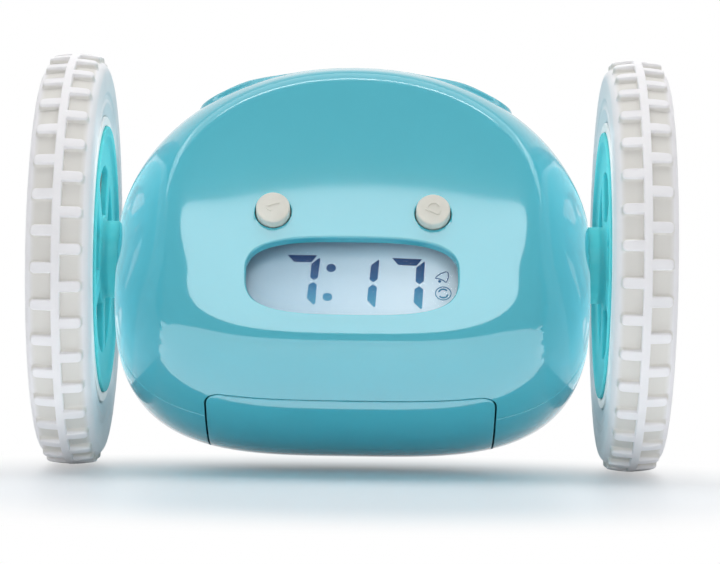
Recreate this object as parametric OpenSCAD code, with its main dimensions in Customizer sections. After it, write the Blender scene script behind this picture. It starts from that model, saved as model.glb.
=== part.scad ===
// Runaway alarm clock: a barrel-shaped clock that hangs between two driven wheels.
// The face looks towards -Y, up is +Z, and the ground is Z = 0 under the middle of the clock.

/* [Overall] */
// Width over both tyres
overall_w = 133.35; // [131:0.05:140]
// Diameter of each wheel over the tread ridge
wheel_d = 88.9; // [88:0.1:94]

/* [Housing] */
// Radius of the housing barrel
body_r = 42; // [41:0.1:42.5]
// Gap between the tyre and the end of the barrel's rounded form
side_gap = 2.175; // [2:0.025:2.6]
// How far the flat end round the axle lies inside the rounded form
end_flat = 1.2; // [1.1:0.05:1.4]
// Wall of the moulded shells
wall = 2.2; // [2:0.1:2.4]
// Squareness of the outline at the top (2 is an ellipse)
top_fullness = 2.1; // [2:0.05:2.3]
// Squareness of the outline at the bottom
bottom_fullness = 3.5; // [3:0.1:3.8]
// Angle of the parting plane below the horizontal, at the front
seam_angle = 54; // [50:1:56]
// Line between the two shells
seam_gap = 0.1; // [0.05:0.01:0.2]
// Bore in the housing end for the wheel neck
neck_bore_r = 8.8; // [8.7:0.1:9]

/* [Face] */
// Lean of the face back from upright
face_tilt = 28; // [27:0.5:30]
// Distance from the axle line to the face
face_dist = 28.4; // [28:0.1:29]
// Sharpness of the brow ridge
brow_sharpness = 45; // [30:1:60]
// Sharpness of the fold under the face
chin_sharpness = 12; // [9:1:16]

/* [Display] */
// Width of the window opening
window_w = 44.4; // [42:0.1:46]
// Height of the window opening
window_h = 18.4; // [17:0.1:19]
// How far the window centre lies below the foot of the axle's perpendicular
window_drop = 18.1; // [18:0.1:18.6]
// Squareness of the window outline
window_squareness = 2.9; // [2.4:0.1:4]
// Depth of the lens below the face
lens_depth = 3.4; // [3:0.1:3.8]
// Thickness of the lens
lens_t = 1.4; // [1:0.1:1.6]
// Thickness of the liquid crystal panel
panel_t = 2; // [1.6:0.1:2.2]
// Thickness of the circuit boards
board_t = 1.6; // [1.2:0.1:1.8]

/* [Buttons] */
// Diameter of the two face buttons
eye_d = 7.1; // [6:0.1:7.6]
// Distance between the two face buttons
eye_spacing = 33.3; // [31:0.1:36]
// How far the face buttons lie below the foot of the axle's perpendicular
eye_drop = 3.1; // [2.4:0.1:3.6]
// How far a face button stands out
eye_proud = 1.8; // [1.4:0.1:2.2]
// Travel of every small button
button_travel = 1; // [0.6:0.1:1.2]
// Gap round every button
button_gap = 0.25; // [0.2:0.05:0.4]
// Length of the snooze bar
bar_len = 69; // [60:0.5:70]
// Width of the snooze bar
bar_w = 14; // [12:0.5:15]
// Angle of the snooze bar above the front horizontal
bar_angle = 97; // [95:0.5:98]
// How far the snooze bar stands out
bar_proud = 0.9; // [0.6:0.1:1.2]
// Travel of the snooze bar
bar_travel = 1.2; // [0.8:0.1:1.4]
// Thickness of the snooze bar
bar_t = 3.6; // [3.2:0.1:4]
// Diameter of the two setting buttons at the back
set_d = 6; // [5:0.1:7]
// Distance between the two setting buttons
set_spacing = 48; // [44:0.5:50]
// Height of the setting buttons and the speaker above the axle line
set_rise = 8; // [7:0.5:10]
// Diameter of the loudspeaker
speaker_d = 28; // [24:0.5:29]

/* [Battery] */
// Diameter of a cell
cell_d = 10.5; // [10:0.1:10.6]
// Length of a cell
cell_len = 44.5; // [43:0.1:45]
// Spacing of the cells
cell_pitch = 10.8; // [10.8:0.05:11]
// Distance of the outer cells from the axle line
cell_reach = 32.4; // [32:0.1:32.6]
// Wall of the battery tray
tray_wall = 1.4; // [1.2:0.1:1.6]
// Width of the battery door
door_w = 60.4; // [58:0.2:62]
// Angle of the door's front edge below the horizontal
door_front_angle = 43; // [42:0.5:44]
// Angle of the door's rear edge below the horizontal
door_rear_angle = 88; // [87:0.5:92]
// Gap round the battery door
door_gap = 0.3; // [0.25:0.05:0.4]

/* [Wheels] */
// Width of the tyre
tyre_w = 13; // [12.5:0.1:13.2]
// Width of the ridge round the middle of the tread
ridge_w = 1.8; // [1.4:0.1:2.2]
// Lugs on each side of the ridge
lug_count = 36; // [30:1:40]
// Width of a lug round the tread
lug_w = 2.3; // [1.8:0.1:2.6]
// Length of a lug outwards from the ridge
lug_len = 4.4; // [3.6:0.1:4.8]
// Height of the ridge and the lugs
lug_h = 1.3; // [1:0.1:1.6]
// Outer radius of the pale rim
rim_r = 31; // [30.5:0.1:32]
// Outer radius of the hub plate
hub_r = 28.8; // [28:0.1:29]
// Radius of the hub neck
neck_r = 8.3; // [8:0.1:8.4]
// Openings in each wheel plate
spoke_count = 5; // [4:1:6]
// Width of a spoke between two openings
spoke_w = 3; // [2.4:0.1:4]
// Depth of a wheel plate below its lip
plate_depth = 1.5; // [1.2:0.1:1.8]

/* [Drive] */
// Gear module
gear_module = 0.6; // [0.56:0.01:0.62]
// Teeth of the motor pinion
pinion_teeth = 10; // [10:1:11]
// Teeth of the large idler wheel
idler_teeth = 34; // [33:1:34]
// Teeth of the small idler wheel
small_teeth = 12; // [12:1:13]
// Teeth of the axle gear
axle_teeth = 36; // [35:1:36]
// Diameter of the wheel axle
axle_d = 4; // [3.6:0.1:4.2]
// Diameter of the motor shaft and the idler pin
pin_d = 2; // [1.6:0.1:2.2]
// Running clearance of a shaft, on the radius
run_gap = 0.05; // [0.03:0.01:0.08]
// Length of a motor
motor_len = 24; // [22:0.5:25]
// Width of a motor
motor_w = 20; // [19:0.5:20.5]
// Height of a motor across its flats
motor_h = 15; // [14:0.5:15.5]

/* [Hidden] */
$fn = 72;

axle_z = wheel_d / 2;
aqua = "#74cdd6";
cream = "#eae4d4";
white = "#f1f0ec";
steel = "silver";
board_green = "#2f6b45";

// Half width of the barrel's rounded form
body_half_w = overall_w / 2 - tyre_w - side_gap;
// Outer form: [barrel radius, half width, face distance]
outer_form = [body_r, body_half_w, face_dist];
inner_form = [for (v = outer_form) v - wall];
outer_end = body_half_w - end_flat;
inner_end = outer_end - wall;
hole_r = neck_bore_r - 0.3;

// Grid lines of the moulded skin
station_steps = 15;
chin_steps = 4;
face_steps = 7;
top_steps = 5;
rear_steps = 18;
brow_half = 3.4;
least_half = 16;

// ---------- the moulded skin ----------

// Share of the bottom outline in direction t, and the outline's exponent there
function low_share(t) = 1 / (1 + exp((sin(t) + 0.174) / 0.16));
function fullness(t) = top_fullness + (bottom_fullness - top_fullness) * low_share(t);
// Radius of the barrel at station x, in direction t up from the front
function barrel_at(x, t, form) =
    let (n = fullness(t))
    form[0] * pow(max(0.0001, 1 - pow(abs(x) / form[1], n)), 1 / n);
function face_at(t, form) = form[2] / max(0.02, cos(t - face_tilt));
function blend_at(t) =
    let (k = max(0, min(1, (t - face_tilt + 30) / 60)))
    chin_sharpness + (brow_sharpness - chin_sharpness) * k * k * (3 - 2 * k);
// Radius of the skin: the barrel cut off by the face, with rounded folds
function skin_at(x, t, form) =
    let (b = barrel_at(x, t, form), f = face_at(t, form), p = blend_at(t))
    b * pow(1 + pow(b / f, p), -1 / p);
// Direction in which the face meets the barrel, above (side 1) or below (side -1) its middle
function fold_at(x, side, turns = 5) =
    let (t = turns == 0 ? face_tilt + side * 45 : fold_at(x, side, turns - 1))
    face_tilt + side * acos(min(cos(least_half), face_dist / barrel_at(x, t, outer_form)));
function between(a, b, k) = a + (b - a) * k;
function stations(end, steps) = [for (i = [-steps : steps]) end * sin(90 * i / steps)];
function front_lines(x) =
    let (lo = fold_at(x, -1), hi = fold_at(x, 1), top = 180 - seam_angle)
    concat(
        [for (i = [0 : chin_steps - 1]) between(-seam_angle, lo - brow_half, i / chin_steps)],
        [for (i = [0 : face_steps]) between(lo - brow_half, hi - brow_half, i / face_steps)],
        [hi - brow_half / 3, hi + brow_half / 3],
        [for (i = [0 : top_steps]) between(hi + brow_half, top, i / top_steps)]
    );
function even_lines(from, to, steps) = [for (i = [0 : steps]) between(from, to, i / steps)];
function skin_point(x, t, r) = [x, -r * cos(t), axle_z + r * sin(t)];

// Closed shell between an outer and an inner grid of points with equal counts
module thick_grid(outer, inner) {
    rows = len(outer);
    cols = len(outer[0]);
    inner_start = rows * cols;
    function at(i, j, side) = side * inner_start + i * cols + j;
    skins = [for (i = [0 : rows - 2]) for (j = [0 : cols - 2]) each [
        [at(i, j, 0), at(i + 1, j + 1, 0), at(i + 1, j, 0)],
        [at(i, j, 0), at(i, j + 1, 0), at(i + 1, j + 1, 0)],
        [at(i, j, 1), at(i + 1, j, 1), at(i + 1, j + 1, 1)],
        [at(i, j, 1), at(i + 1, j + 1, 1), at(i, j + 1, 1)]
    ]];
    long_edges = [for (i = [0 : rows - 2]) each [
        [at(i, 0, 0), at(i + 1, 0, 1), at(i, 0, 1)],
        [at(i, 0, 0), at(i + 1, 0, 0), at(i + 1, 0, 1)],
        [at(i, cols - 1, 0), at(i, cols - 1, 1), at(i + 1, cols - 1, 1)],
        [at(i, cols - 1, 0), at(i + 1, cols - 1, 1), at(i + 1, cols - 1, 0)]
    ]];
    end_edges = [for (j = [0 : cols - 2]) each [
        [at(0, j, 0), at(0, j, 1), at(0, j + 1, 1)],
        [at(0, j, 0), at(0, j + 1, 1), at(0, j + 1, 0)],
        [at(rows - 1, j, 0), at(rows - 1, j + 1, 1), at(rows - 1, j, 1)],
        [at(rows - 1, j, 0), at(rows - 1, j + 1, 0), at(rows - 1, j + 1, 1)]
    ]];
    polyhedron(
        points = concat([for (row = outer) each row], [for (row = inner) each row]),
        faces = concat(skins, long_edges, end_edges),
        convexity = 8
    );
}

// A half shell: the grid lines of each station, closed at the ends down to the neck hole
module half_shell(lines) {
    xs = stations(outer_end, station_steps);
    last = len(xs) - 1;
    outer = concat(
        [[for (t = lines[0]) skin_point(xs[0], t, hole_r)]],
        [for (i = [0 : last]) [for (t = lines[i]) skin_point(xs[i], t, skin_at(xs[i], t, outer_form))]],
        [[for (t = lines[last]) skin_point(xs[last], t, hole_r)]]
    );
    inner = concat(
        [[for (t = lines[0]) skin_point(-inner_end, t, hole_r)]],
        [for (i = [0 : last]) let (x = xs[i] * inner_end / outer_end)
            [for (t = lines[i]) skin_point(x, t, skin_at(x, t, inner_form))]],
        [[for (t = lines[last]) skin_point(inner_end, t, hole_r)]]
    );
    thick_grid(outer, inner);
}

// ---------- places ----------

// Local z is the direction t up from the front, local x is the width
module facing(t) {
    translate([0, 0, axle_z]) rotate([90 - t, 0, 0]) children();
}
// Local z points out of the face, local y up the face
module on_face(depth = 0) {
    facing(face_tilt) translate([0, 0, face_dist - depth]) children();
}
module along_x() {
    rotate([0, 90, 0]) children();
}
// Right wheel's place; the left one is its mirror image
module on_side(side) {
    mirror([side < 0 ? 1 : 0, 0, 0]) children();
}
module mirrored_pair() {
    for (side = [-1, 1]) on_side(side) children();
}

// ---------- outlines ----------

function signed_power(v, p) = sign(v) * pow(abs(v), p);
module window_outline(grow = 0) {
    a = window_w / 2 + grow;
    b = window_h / 2 + grow;
    p = 2 / window_squareness;
    translate([0, -window_drop]) polygon([for (t = [0 : 7.5 : 352.5])
        [a * signed_power(cos(t), p), b * signed_power(sin(t), p)]]);
}
module pill(length, width) {
    square([length - width, width], center = true);
    for (side = [-1, 1]) translate([side * (length - width) / 2, 0]) circle(d = width);
}
module rounded_rect(w, h, r) {
    square([w - 2 * r, h], center = true);
    square([w, h - 2 * r], center = true);
    for (x = [-1, 1]) for (y = [-1, 1])
        translate([x * (w / 2 - r), y * (h / 2 - r)]) circle(r);
}

// ---------- case screws ----------

post_x = 0.7 * body_half_w;
post_w = 24;
post_r = 3;
screw_d = 2.4;
screw_head_d = 4.6;
screw_head_t = 1.6;
screw_seat = 5;
screw_reach = 7;

// Distance from the parting plane to the skin beside a post, in front (side 1) or behind (side -1)
function post_len(w, side, turns = 6) =
    let (
        s = turns == 0 ? body_r / 2 : post_len(w, side, turns - 1),
        r = skin_at(post_x, 90 - seam_angle + atan2(w, side * s), outer_form)
    )
    sqrt(r * r - w * w) - 0.4 * wall;

// Local z points from the parting plane into the front shell
module on_seam() {
    facing(90 - seam_angle) children();
}
module at_posts() {
    on_seam() for (x = [-1, 1]) for (w = [-1, 1])
        translate([x * post_x, w * post_w, 0]) children();
}
module posts(side) {
    on_seam() for (x = [-1, 1]) for (w = [-1, 1]) translate([x * post_x, w * post_w, 0])
        mirror([0, 0, side < 0 ? 1 : 0]) translate([0, 0, seam_gap])
        cylinder(r = post_r, h = post_len(w * post_w, side) - seam_gap - post_r * 0.6);
}

// ---------- housing ----------

rim_wall = 1.3;
grille_hole_d = 1.8;
grille_pitch = 4;

function door_mid() = -(door_front_angle + door_rear_angle) / 2;

module front_shell() {
    color(aqua) difference() {
        union() {
            half_shell([for (x = stations(outer_end, station_steps)) front_lines(x)]);
            on_face(lens_depth) linear_extrude(lens_depth - wall + 0.2) window_outline(rim_wall);
            posts(1);
            board_posts() cylinder(r = board_post_r, h = board_depth - wall + 0.4);
            for (side = [-1, 1]) facing(bar_angle) translate([0, side * bar_post_w, bar_board_r])
                cylinder(r = board_post_r, h = body_r - wall - bar_board_r - 0.6);
        }
        board_posts() translate([0, 0, -1]) cylinder(d = board_screw_d + 0.1, h = board_screw_len);
        axle_bores();
        on_face(lens_depth + 1) linear_extrude(lens_depth + 6) window_outline();
        on_face(lens_depth + 4) linear_extrude(4) window_outline(rim_wall);
        for (side = [-1, 1]) on_eye(side) translate([0, 0, -8]) cylinder(r = eye_d / 2 + button_gap, h = 16);
        facing(bar_angle) translate([0, 0, bar_slot_r]) linear_extrude(body_r)
            pill(bar_len + 2 * button_gap, bar_w + 2 * button_gap);
        door_slab(door_gap, 3, -wall - 3);
        at_posts() translate([0, 0, -1]) cylinder(d = screw_d + 0.1, h = screw_reach + 1.5);
    }
}

module rear_shell() {
    color(aqua) difference() {
        union() {
            rear_lines = even_lines(180 - seam_angle + 0.1, 360 - seam_angle - 0.1, rear_steps);
            half_shell([for (x = stations(outer_end, station_steps)) rear_lines]);
            posts(-1);
            for (side = [-1, 1]) setting_post(side);
            intersection() {
                on_back() translate([0, 0, speaker_seat - 1.6]) cylinder(r = speaker_ring_r, h = 8);
                translate([-speaker_d, 0, axle_z]) along_x() cylinder(r = body_r - 0.9 * wall, h = 2 * speaker_d);
            }
            for (side = [-1, 1]) motor_rib(side);
        }
        on_back() translate([0, 0, speaker_seat - 8]) cylinder(d = speaker_d + 0.3, h = 8.05);
        on_back() translate([0, 0, speaker_seat - 1]) cylinder(d = speaker_d - 3, h = 3.8);
        axle_bores();
        door_slab(door_gap, 3, -wall - 3);
        at_posts() {
            translate([0, 0, -screw_seat - 1]) cylinder(d = screw_d + 0.4, h = screw_seat + 2);
            translate([0, 0, -screw_seat - 40]) cylinder(d = screw_head_d + 0.4, h = 40);
        }
        for (side = [-1, 1]) on_setting(side) cylinder(r = set_d / 2 + button_gap, h = 40);
        on_back() for (ring = [0 : 2]) for (i = [0 : max(0, 6 * ring - 1)])
            rotate([0, 0, 60 / max(1, ring) * i]) translate([ring * grille_pitch, 0, 0])
            cylinder(d = grille_hole_d, h = 40, $fn = 24);
    }
}

module axle_bores() {
    translate([-body_half_w - 1, 0, axle_z]) along_x() cylinder(r = neck_bore_r, h = 2 * body_half_w + 2);
}

// Local z points from the main board towards the face
module board_posts() {
    for (x = [-1, 1]) for (y = [board_post_top, -window_drop])
        on_face(board_depth) translate([x * board_post_x, y, 0]) children();
}
module setting_post(side) {
    x = speaker_d / 2 + 3.4;
    skin = skin_at(x, back_angle, inner_form) * cos(180 - back_angle);
    on_back() translate([side * x, 0, set_board_y])
        cylinder(r = 1.6, h = skin + 0.3 * wall - set_board_y);
}
// Rib under a motor
module motor_rib(side) {
    top = motor_at[1] - motor_h / 2 - 0.2;
    on_side(side) translate([motor_start + 9, motor_at[0] - 8, axle_z - 0.77 * body_r])
        cube([1.6, 16, 0.77 * body_r + top]);
}

// ---------- battery door ----------

door_corner_r = 3.5;
corner_steps = 4;
door_steps = 6;
door_columns = 7;
tab_t = 1.4;
tab_drop = 1;
tab_root = 3;
tab_reach = 2.6;
tab_w = 6;
tab_x = 18;
notch_w = 10.8;
notch_depth = 1;

// Half width of the door outline in direction t, with its rounded corners
function door_half(t, grow) =
    let (
        r = door_corner_r + grow,
        past = min(t + door_rear_angle + angle_of(grow), -door_front_angle + angle_of(grow) - t),
        d = max(0, r - past / angle_of(1))
    )
    door_w / 2 + grow - (r - sqrt(max(0, r * r - d * d)));
// Angle that a length takes up on the barrel
function angle_of(length) = length / body_r * 180 / PI;
function door_lines(grow) =
    let (
        lo = -door_rear_angle - angle_of(grow),
        hi = -door_front_angle + angle_of(grow),
        r = angle_of(door_corner_r),
        turns = [for (k = [0 : corner_steps]) r * (1 - cos(90 * k / corner_steps))]
    )
    concat(
        [for (d = turns) lo + d],
        [for (k = [1 : door_steps - 1]) between(lo + r, hi - r, k / door_steps)],
        [for (k = [corner_steps : -1 : 0]) hi - turns[k]]
    );
// Slab with the door's outline, between two offsets from the outer skin
module door_slab(grow, out, in) {
    lines = door_lines(grow);
    shares = [for (i = [-door_columns : door_columns]) i / door_columns];
    function row(s, offset) = [for (t = lines)
        let (x = s * door_half(t, grow))
        skin_point(x, t, skin_at(x, t, outer_form) + offset)];
    thick_grid([for (s = shares) row(s, out)], [for (s = shares) row(s, in)]);
}

module battery_door() {
    root_r = body_r - wall - tab_drop - tab_t;
    color(aqua) difference() {
        union() {
            door_slab(0, 0, -wall);
            for (side = [-1, 1]) facing(-door_front_angle) translate([side * tab_x - tab_w / 2, 0, 0]) {
                translate([0, -tab_root, root_r]) cube([tab_w, tab_root + tab_reach, tab_t]);
                translate([0, -tab_root, root_r]) cube([tab_w, tab_root - door_gap, tab_t + 1.2]);
            }
        }
        facing(-door_rear_angle) translate([-notch_w / 2, -1, body_r - notch_depth])
            cube([notch_w, 2.4, 4]);
    }
}

// ---------- face buttons, display and boards ----------

module on_eye(side) {
    on_face() translate([side * eye_spacing / 2, -eye_drop, 0]) children();
}
flange_t = 0.8;
flange_extra = 1;
stem_len = 2.4;

module eye_button(side) {
    color(cream) on_eye(side) {
        translate([0, 0, -wall - 1]) cylinder(d = eye_d, h = wall + 1 + eye_proud);
        translate([0, 0, -wall - 0.2 - flange_t]) cylinder(r = eye_d / 2 + flange_extra, h = flange_t);
        translate([0, 0, -wall - 0.2 - flange_t - stem_len]) cylinder(d = 2.4, h = stem_len + 1);
    }
}
eye_stem_end = wall + 0.2 + flange_t + stem_len;

panel_depth = lens_depth + lens_t + 0.1;
frame_depth = panel_depth + panel_t + 0.1;
switch_h = 3.2;
switch_slack = 0.15;
board_depth = max(frame_depth + 1.4, eye_stem_end + button_travel + switch_slack + switch_h);
frame_t = board_depth - frame_depth - 0.05;

module display_lens() {
    color("#cfe3f2", 0.35) on_face(lens_depth + lens_t + 0.05)
        linear_extrude(lens_t) window_outline(rim_wall - 0.2);
}
module display_panel() {
    color("#c3d3e6") on_face(panel_depth + panel_t)
        translate([0, -window_drop, 0]) linear_extrude(panel_t)
        square([window_w + 1, window_h], center = true);
}
module display_frame() {
    color("#2f3a40") on_face(frame_depth + frame_t) translate([0, -window_drop, 0]) difference() {
        linear_extrude(frame_t) rounded_rect(window_w + 4, window_h + 2, 1);
        translate([0, 0, -1]) linear_extrude(frame_t + 2) square([window_w - 6, window_h - 6], center = true);
    }
}

board_post_x = window_w / 2 + 3.8;
board_w = 2 * board_post_x + 4;
board_post_top = 12;
board_post_r = 1.8;
board_screw_d = 1.6;
board_screw_len = 5;
board_top = board_post_top + 3;
board_bottom = window_drop + window_h / 2 - 2;

module main_board() {
    color(board_green) on_face(board_depth + board_t)
        difference() {
            translate([-board_w / 2, -board_bottom, 0]) cube([board_w, board_bottom + board_top, board_t]);
            for (x = [-1, 1]) for (y = [board_post_top, -window_drop])
                translate([x * board_post_x, y, -1]) cylinder(d = board_screw_d + 0.2, h = board_t + 2);
        }
}
module board_screws() {
    color(steel) board_posts() {
        translate([0, 0, -board_t - 1.2]) cylinder(d = 3, h = 1.2);
        translate([0, 0, -board_t - 0.6]) cylinder(d = board_screw_d, h = board_screw_len - 1);
    }
}
module face_switches() {
    color("#3a3a3a") for (side = [-1, 1]) on_eye(side) translate([0, 0, -board_depth]) {
        translate([-3, -3, 0]) cube([6, 6, switch_h - 0.6]);
        cylinder(d = 3.2, h = switch_h);
    }
}

// ---------- snooze bar ----------

// Height of the outer skin over the plan point [x, w] of the bar, along the bar's travel
function bar_skin(x, w) =
    let (
        r0 = barrel_at(x, bar_angle, outer_form),
        t = bar_angle + asin(max(-1, min(1, w / r0))),
        r = barrel_at(x, t, outer_form)
    )
    sqrt(r * r - w * w);
bar_rings = [0.35, 0.7, 0.88, 0.96, 1];
function bar_point(share, a) =
    let (
        straight = (bar_len - bar_w) / 2,
        x = (abs(cos(a)) < 0.001 ? 0 : sign(cos(a)) * straight * min(1, abs(cos(a)) * 2.2))
            + bar_w / 2 * cos(a),
        y = bar_w / 2 * sin(a)
    )
    [x * share, y * share];
function bar_height(p, share) =
    bar_skin(p[0], -p[1]) + bar_proud * sqrt(max(0, 1 - pow(share, 8))) - 0.3 * pow(share, 8);

module snooze_bar() {
    count = 40;
    angles = [for (i = [0 : count - 1]) 360 * i / count];
    tops = [for (s = bar_rings) for (a = angles)
        let (p = bar_point(s, a)) [p[0], p[1], bar_height(p, s)]];
    unders = [for (s = bar_rings) for (a = angles)
        let (p = bar_point(s, a)) [p[0], p[1], bar_skin(p[0], -p[1]) - bar_t]];
    rings = len(bar_rings);
    low = rings * count;
    centres = 2 * low;
    function next(j) = (j + 1) % count;
    color(aqua) facing(bar_angle) {
        polyhedron(
            points = concat(tops, unders, [[0, 0, bar_skin(0, 0) + bar_proud]],
                [[0, 0, bar_skin(0, 0) - bar_t]]),
            faces = concat(
                [for (k = [0 : rings - 2]) for (j = [0 : count - 1]) each [
                    [k * count + j, (k + 1) * count + next(j), (k + 1) * count + j],
                    [k * count + j, k * count + next(j), (k + 1) * count + next(j)],
                    [low + k * count + j, low + (k + 1) * count + j, low + (k + 1) * count + next(j)],
                    [low + k * count + j, low + (k + 1) * count + next(j), low + k * count + next(j)]
                ]],
                [for (j = [0 : count - 1]) each [
                    [centres, next(j), j],
                    [centres + 1, low + j, low + next(j)],
                    [low - count + j, low - count + next(j), 2 * low - count + next(j)],
                    [low - count + j, 2 * low - count + next(j), 2 * low - count + j]
                ]]
            ),
            convexity = 6
        );
        translate([0, 0, bar_stem_end]) cylinder(d = 4, h = bar_skin(0, 0) - bar_t - bar_stem_end + 1);
    }
}
bar_stem_end = body_r - bar_t - 2.4;
bar_board_r = bar_stem_end - bar_travel - switch_slack - switch_h;
bar_post_w = 11;
bar_slot_r = body_r / 2;
snooze_board_w = 18;
snooze_board_edge = 2;

module snooze_board() {
    half = bar_post_w + snooze_board_edge;
    color(board_green) facing(bar_angle) translate([-snooze_board_w / 2, -half, bar_board_r - board_t])
        cube([snooze_board_w, 2 * half, board_t]);
}
module snooze_switch() {
    color("#3a3a3a") facing(bar_angle) translate([0, 0, bar_board_r]) {
        translate([-3, -3, 0]) cube([6, 6, switch_h - 0.6]);
        cylinder(d = 3.4, h = switch_h);
    }
}

// ---------- back: setting buttons and speaker ----------

// Local z points out of the back, at the height of the speaker
module on_back() {
    translate([0, 0, axle_z + set_rise]) rotate([-90, 0, 0]) children();
}
module on_setting(side) {
    on_back() translate([side * set_spacing / 2, 0, 0]) children();
}
back_angle = 180 - asin(set_rise / body_r);
set_skin = skin_at(set_spacing / 2, back_angle, outer_form) * cos(180 - back_angle);
speaker_seat = skin_at(0, back_angle, inner_form) * cos(180 - back_angle) - 2.6;
speaker_t = 4.6;
speaker_ring_r = speaker_d / 2 + 1.4;

module setting_button(side) {
    color(cream) on_setting(side) {
        translate([0, 0, set_foot]) cylinder(d = set_d, h = set_skin + set_proud - set_foot);
        translate([0, 0, set_foot]) cylinder(r = set_d / 2 + flange_extra, h = flange_t);
        translate([0, 0, set_stem_end]) cylinder(d = 2.4, h = stem_len + 1);
    }
}
set_proud = 0.8;
set_foot = set_skin - wall - 4;
set_stem_end = set_foot - stem_len;
set_board_y = set_stem_end - button_travel - switch_slack - switch_h;
set_board_edge = 5;

module setting_board() {
    color(board_green) on_back() translate([0, 0, set_board_y - board_t]) linear_extrude(board_t)
        square([set_spacing + 2 * set_board_edge, 2 * set_d], center = true);
}
module setting_switches() {
    color("#3a3a3a") for (side = [-1, 1]) on_setting(side) translate([0, 0, set_board_y]) {
        translate([-3, -3, 0]) cube([6, 6, switch_h - 0.6]);
        cylinder(d = 3.2, h = switch_h);
    }
}
module speaker() {
    color("#30343a") on_back() {
        translate([0, 0, speaker_seat - 1.6]) cylinder(d = speaker_d, h = 1.6);
        translate([0, 0, speaker_seat - speaker_t]) cylinder(d = speaker_d * 0.6, h = speaker_t - 1);
    }
}

// ---------- battery ----------

module on_tray() {
    facing(door_mid()) children();
}
cell_space = cell_len + 3.2;
contact_t = 0.5;
cell_play = 0.3;
tray_inner_w = 2 * cell_pitch + cell_play;
tray_floor = cell_reach - 1.5 * cell_pitch - cell_play;
tray_len = cell_space + 2 * contact_t + 2 * tray_wall;

module at_cells() {
    on_tray() for (row = [0, 1]) for (w = [-1, 1])
        translate([0, w * cell_pitch / 2, cell_reach - row * cell_pitch]) children();
}
module battery_tray() {
    depth = 1.5 * cell_pitch + cell_play + 2;
    color(aqua) on_tray() difference() {
        translate([-tray_len / 2, -tray_inner_w / 2 - tray_wall, tray_floor - tray_wall])
            cube([tray_len, tray_inner_w + 2 * tray_wall, depth + tray_wall]);
        translate([-tray_len / 2 + tray_wall, -tray_inner_w / 2, tray_floor])
            cube([tray_len - 2 * tray_wall, tray_inner_w, depth + 1]);
    }
}
module battery_cells() {
    color("#3d4a57") at_cells() translate([-cell_space / 2 + 0.8, 0, 0]) along_x() {
        cylinder(d = cell_d, h = cell_len - 1);
        cylinder(d = 3.8, h = cell_len);
    }
}
module battery_contacts() {
    color(steel) at_cells() {
        translate([cell_space / 2, -3.6, -3.6]) cube([contact_t, 7.2, 7.2]);
        translate([-cell_space / 2 - contact_t, -3.6, -3.6]) cube([contact_t, 7.2, 7.2]);
        translate([-cell_space / 2, 0, 0]) along_x() cylinder(d1 = 6, d2 = 3.6, h = 0.7);
    }
}

// ---------- fasteners ----------

module case_screws() {
    color(steel) at_posts() {
        translate([0, 0, -screw_seat]) cylinder(d = screw_d, h = screw_seat + screw_reach);
        translate([0, 0, -screw_seat - 1 - screw_head_t]) cylinder(d = screw_head_d, h = screw_head_t + 1);
    }
}

// ---------- drive ----------

function pitch_r(teeth) = gear_module * teeth / 2;
idler_reach = pitch_r(axle_teeth) + pitch_r(small_teeth);
motor_reach = pitch_r(idler_teeth) + pitch_r(pinion_teeth);
motor_turn = -75;
idler_at = [idler_reach, 0];
motor_at = [idler_reach + motor_reach * cos(motor_turn), motor_reach * sin(motor_turn)];

// Planes along the axle, from the end of the housing inwards
plate_t = 1.5;
stage_w = 2;
stage_gap = 1;
outer_plate = inner_end - 3.3 - plate_t;
second_stage = outer_plate - stage_gap - stage_w;
first_stage = second_stage - stage_gap - stage_w;
inner_plate = first_stage - 0.8 - plate_t;
motor_start = inner_plate - motor_len;
axle_start = inner_plate - 1;
spacer_r = 1.8;
spacer_at = pitch_r(axle_teeth) + gear_module + 0.6 + spacer_r;

// Teeth round the origin, with one tooth in direction turn
module gear_outline(teeth, turn) {
    r = pitch_r(teeth);
    root = r - 1.15 * gear_module;
    tip = r + 0.85 * gear_module;
    root_half = asin(0.82 * gear_module / root);
    pitch_half = asin(0.64 * gear_module / r);
    tip_half = asin(0.28 * gear_module / tip);
    polygon([for (i = [0 : teeth - 1]) let (a = turn + 360 * i / teeth) each [
        root * [cos(a - root_half), sin(a - root_half)],
        r * [cos(a - pitch_half), sin(a - pitch_half)],
        tip * [cos(a - tip_half), sin(a - tip_half)],
        tip * [cos(a + tip_half), sin(a + tip_half)],
        r * [cos(a + pitch_half), sin(a + pitch_half)],
        root * [cos(a + root_half), sin(a + root_half)]
    ]]);
}
// Direction of a step [y, z] in a gear's own plane
function plane_turn(step) = atan2(step[0], -step[1]);
idler_turn = plane_turn(idler_at);
motor_step_turn = plane_turn(motor_at - idler_at);

module in_plane(x, at = [0, 0]) {
    translate([x, at[0], axle_z + at[1]]) along_x() children();
}

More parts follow.
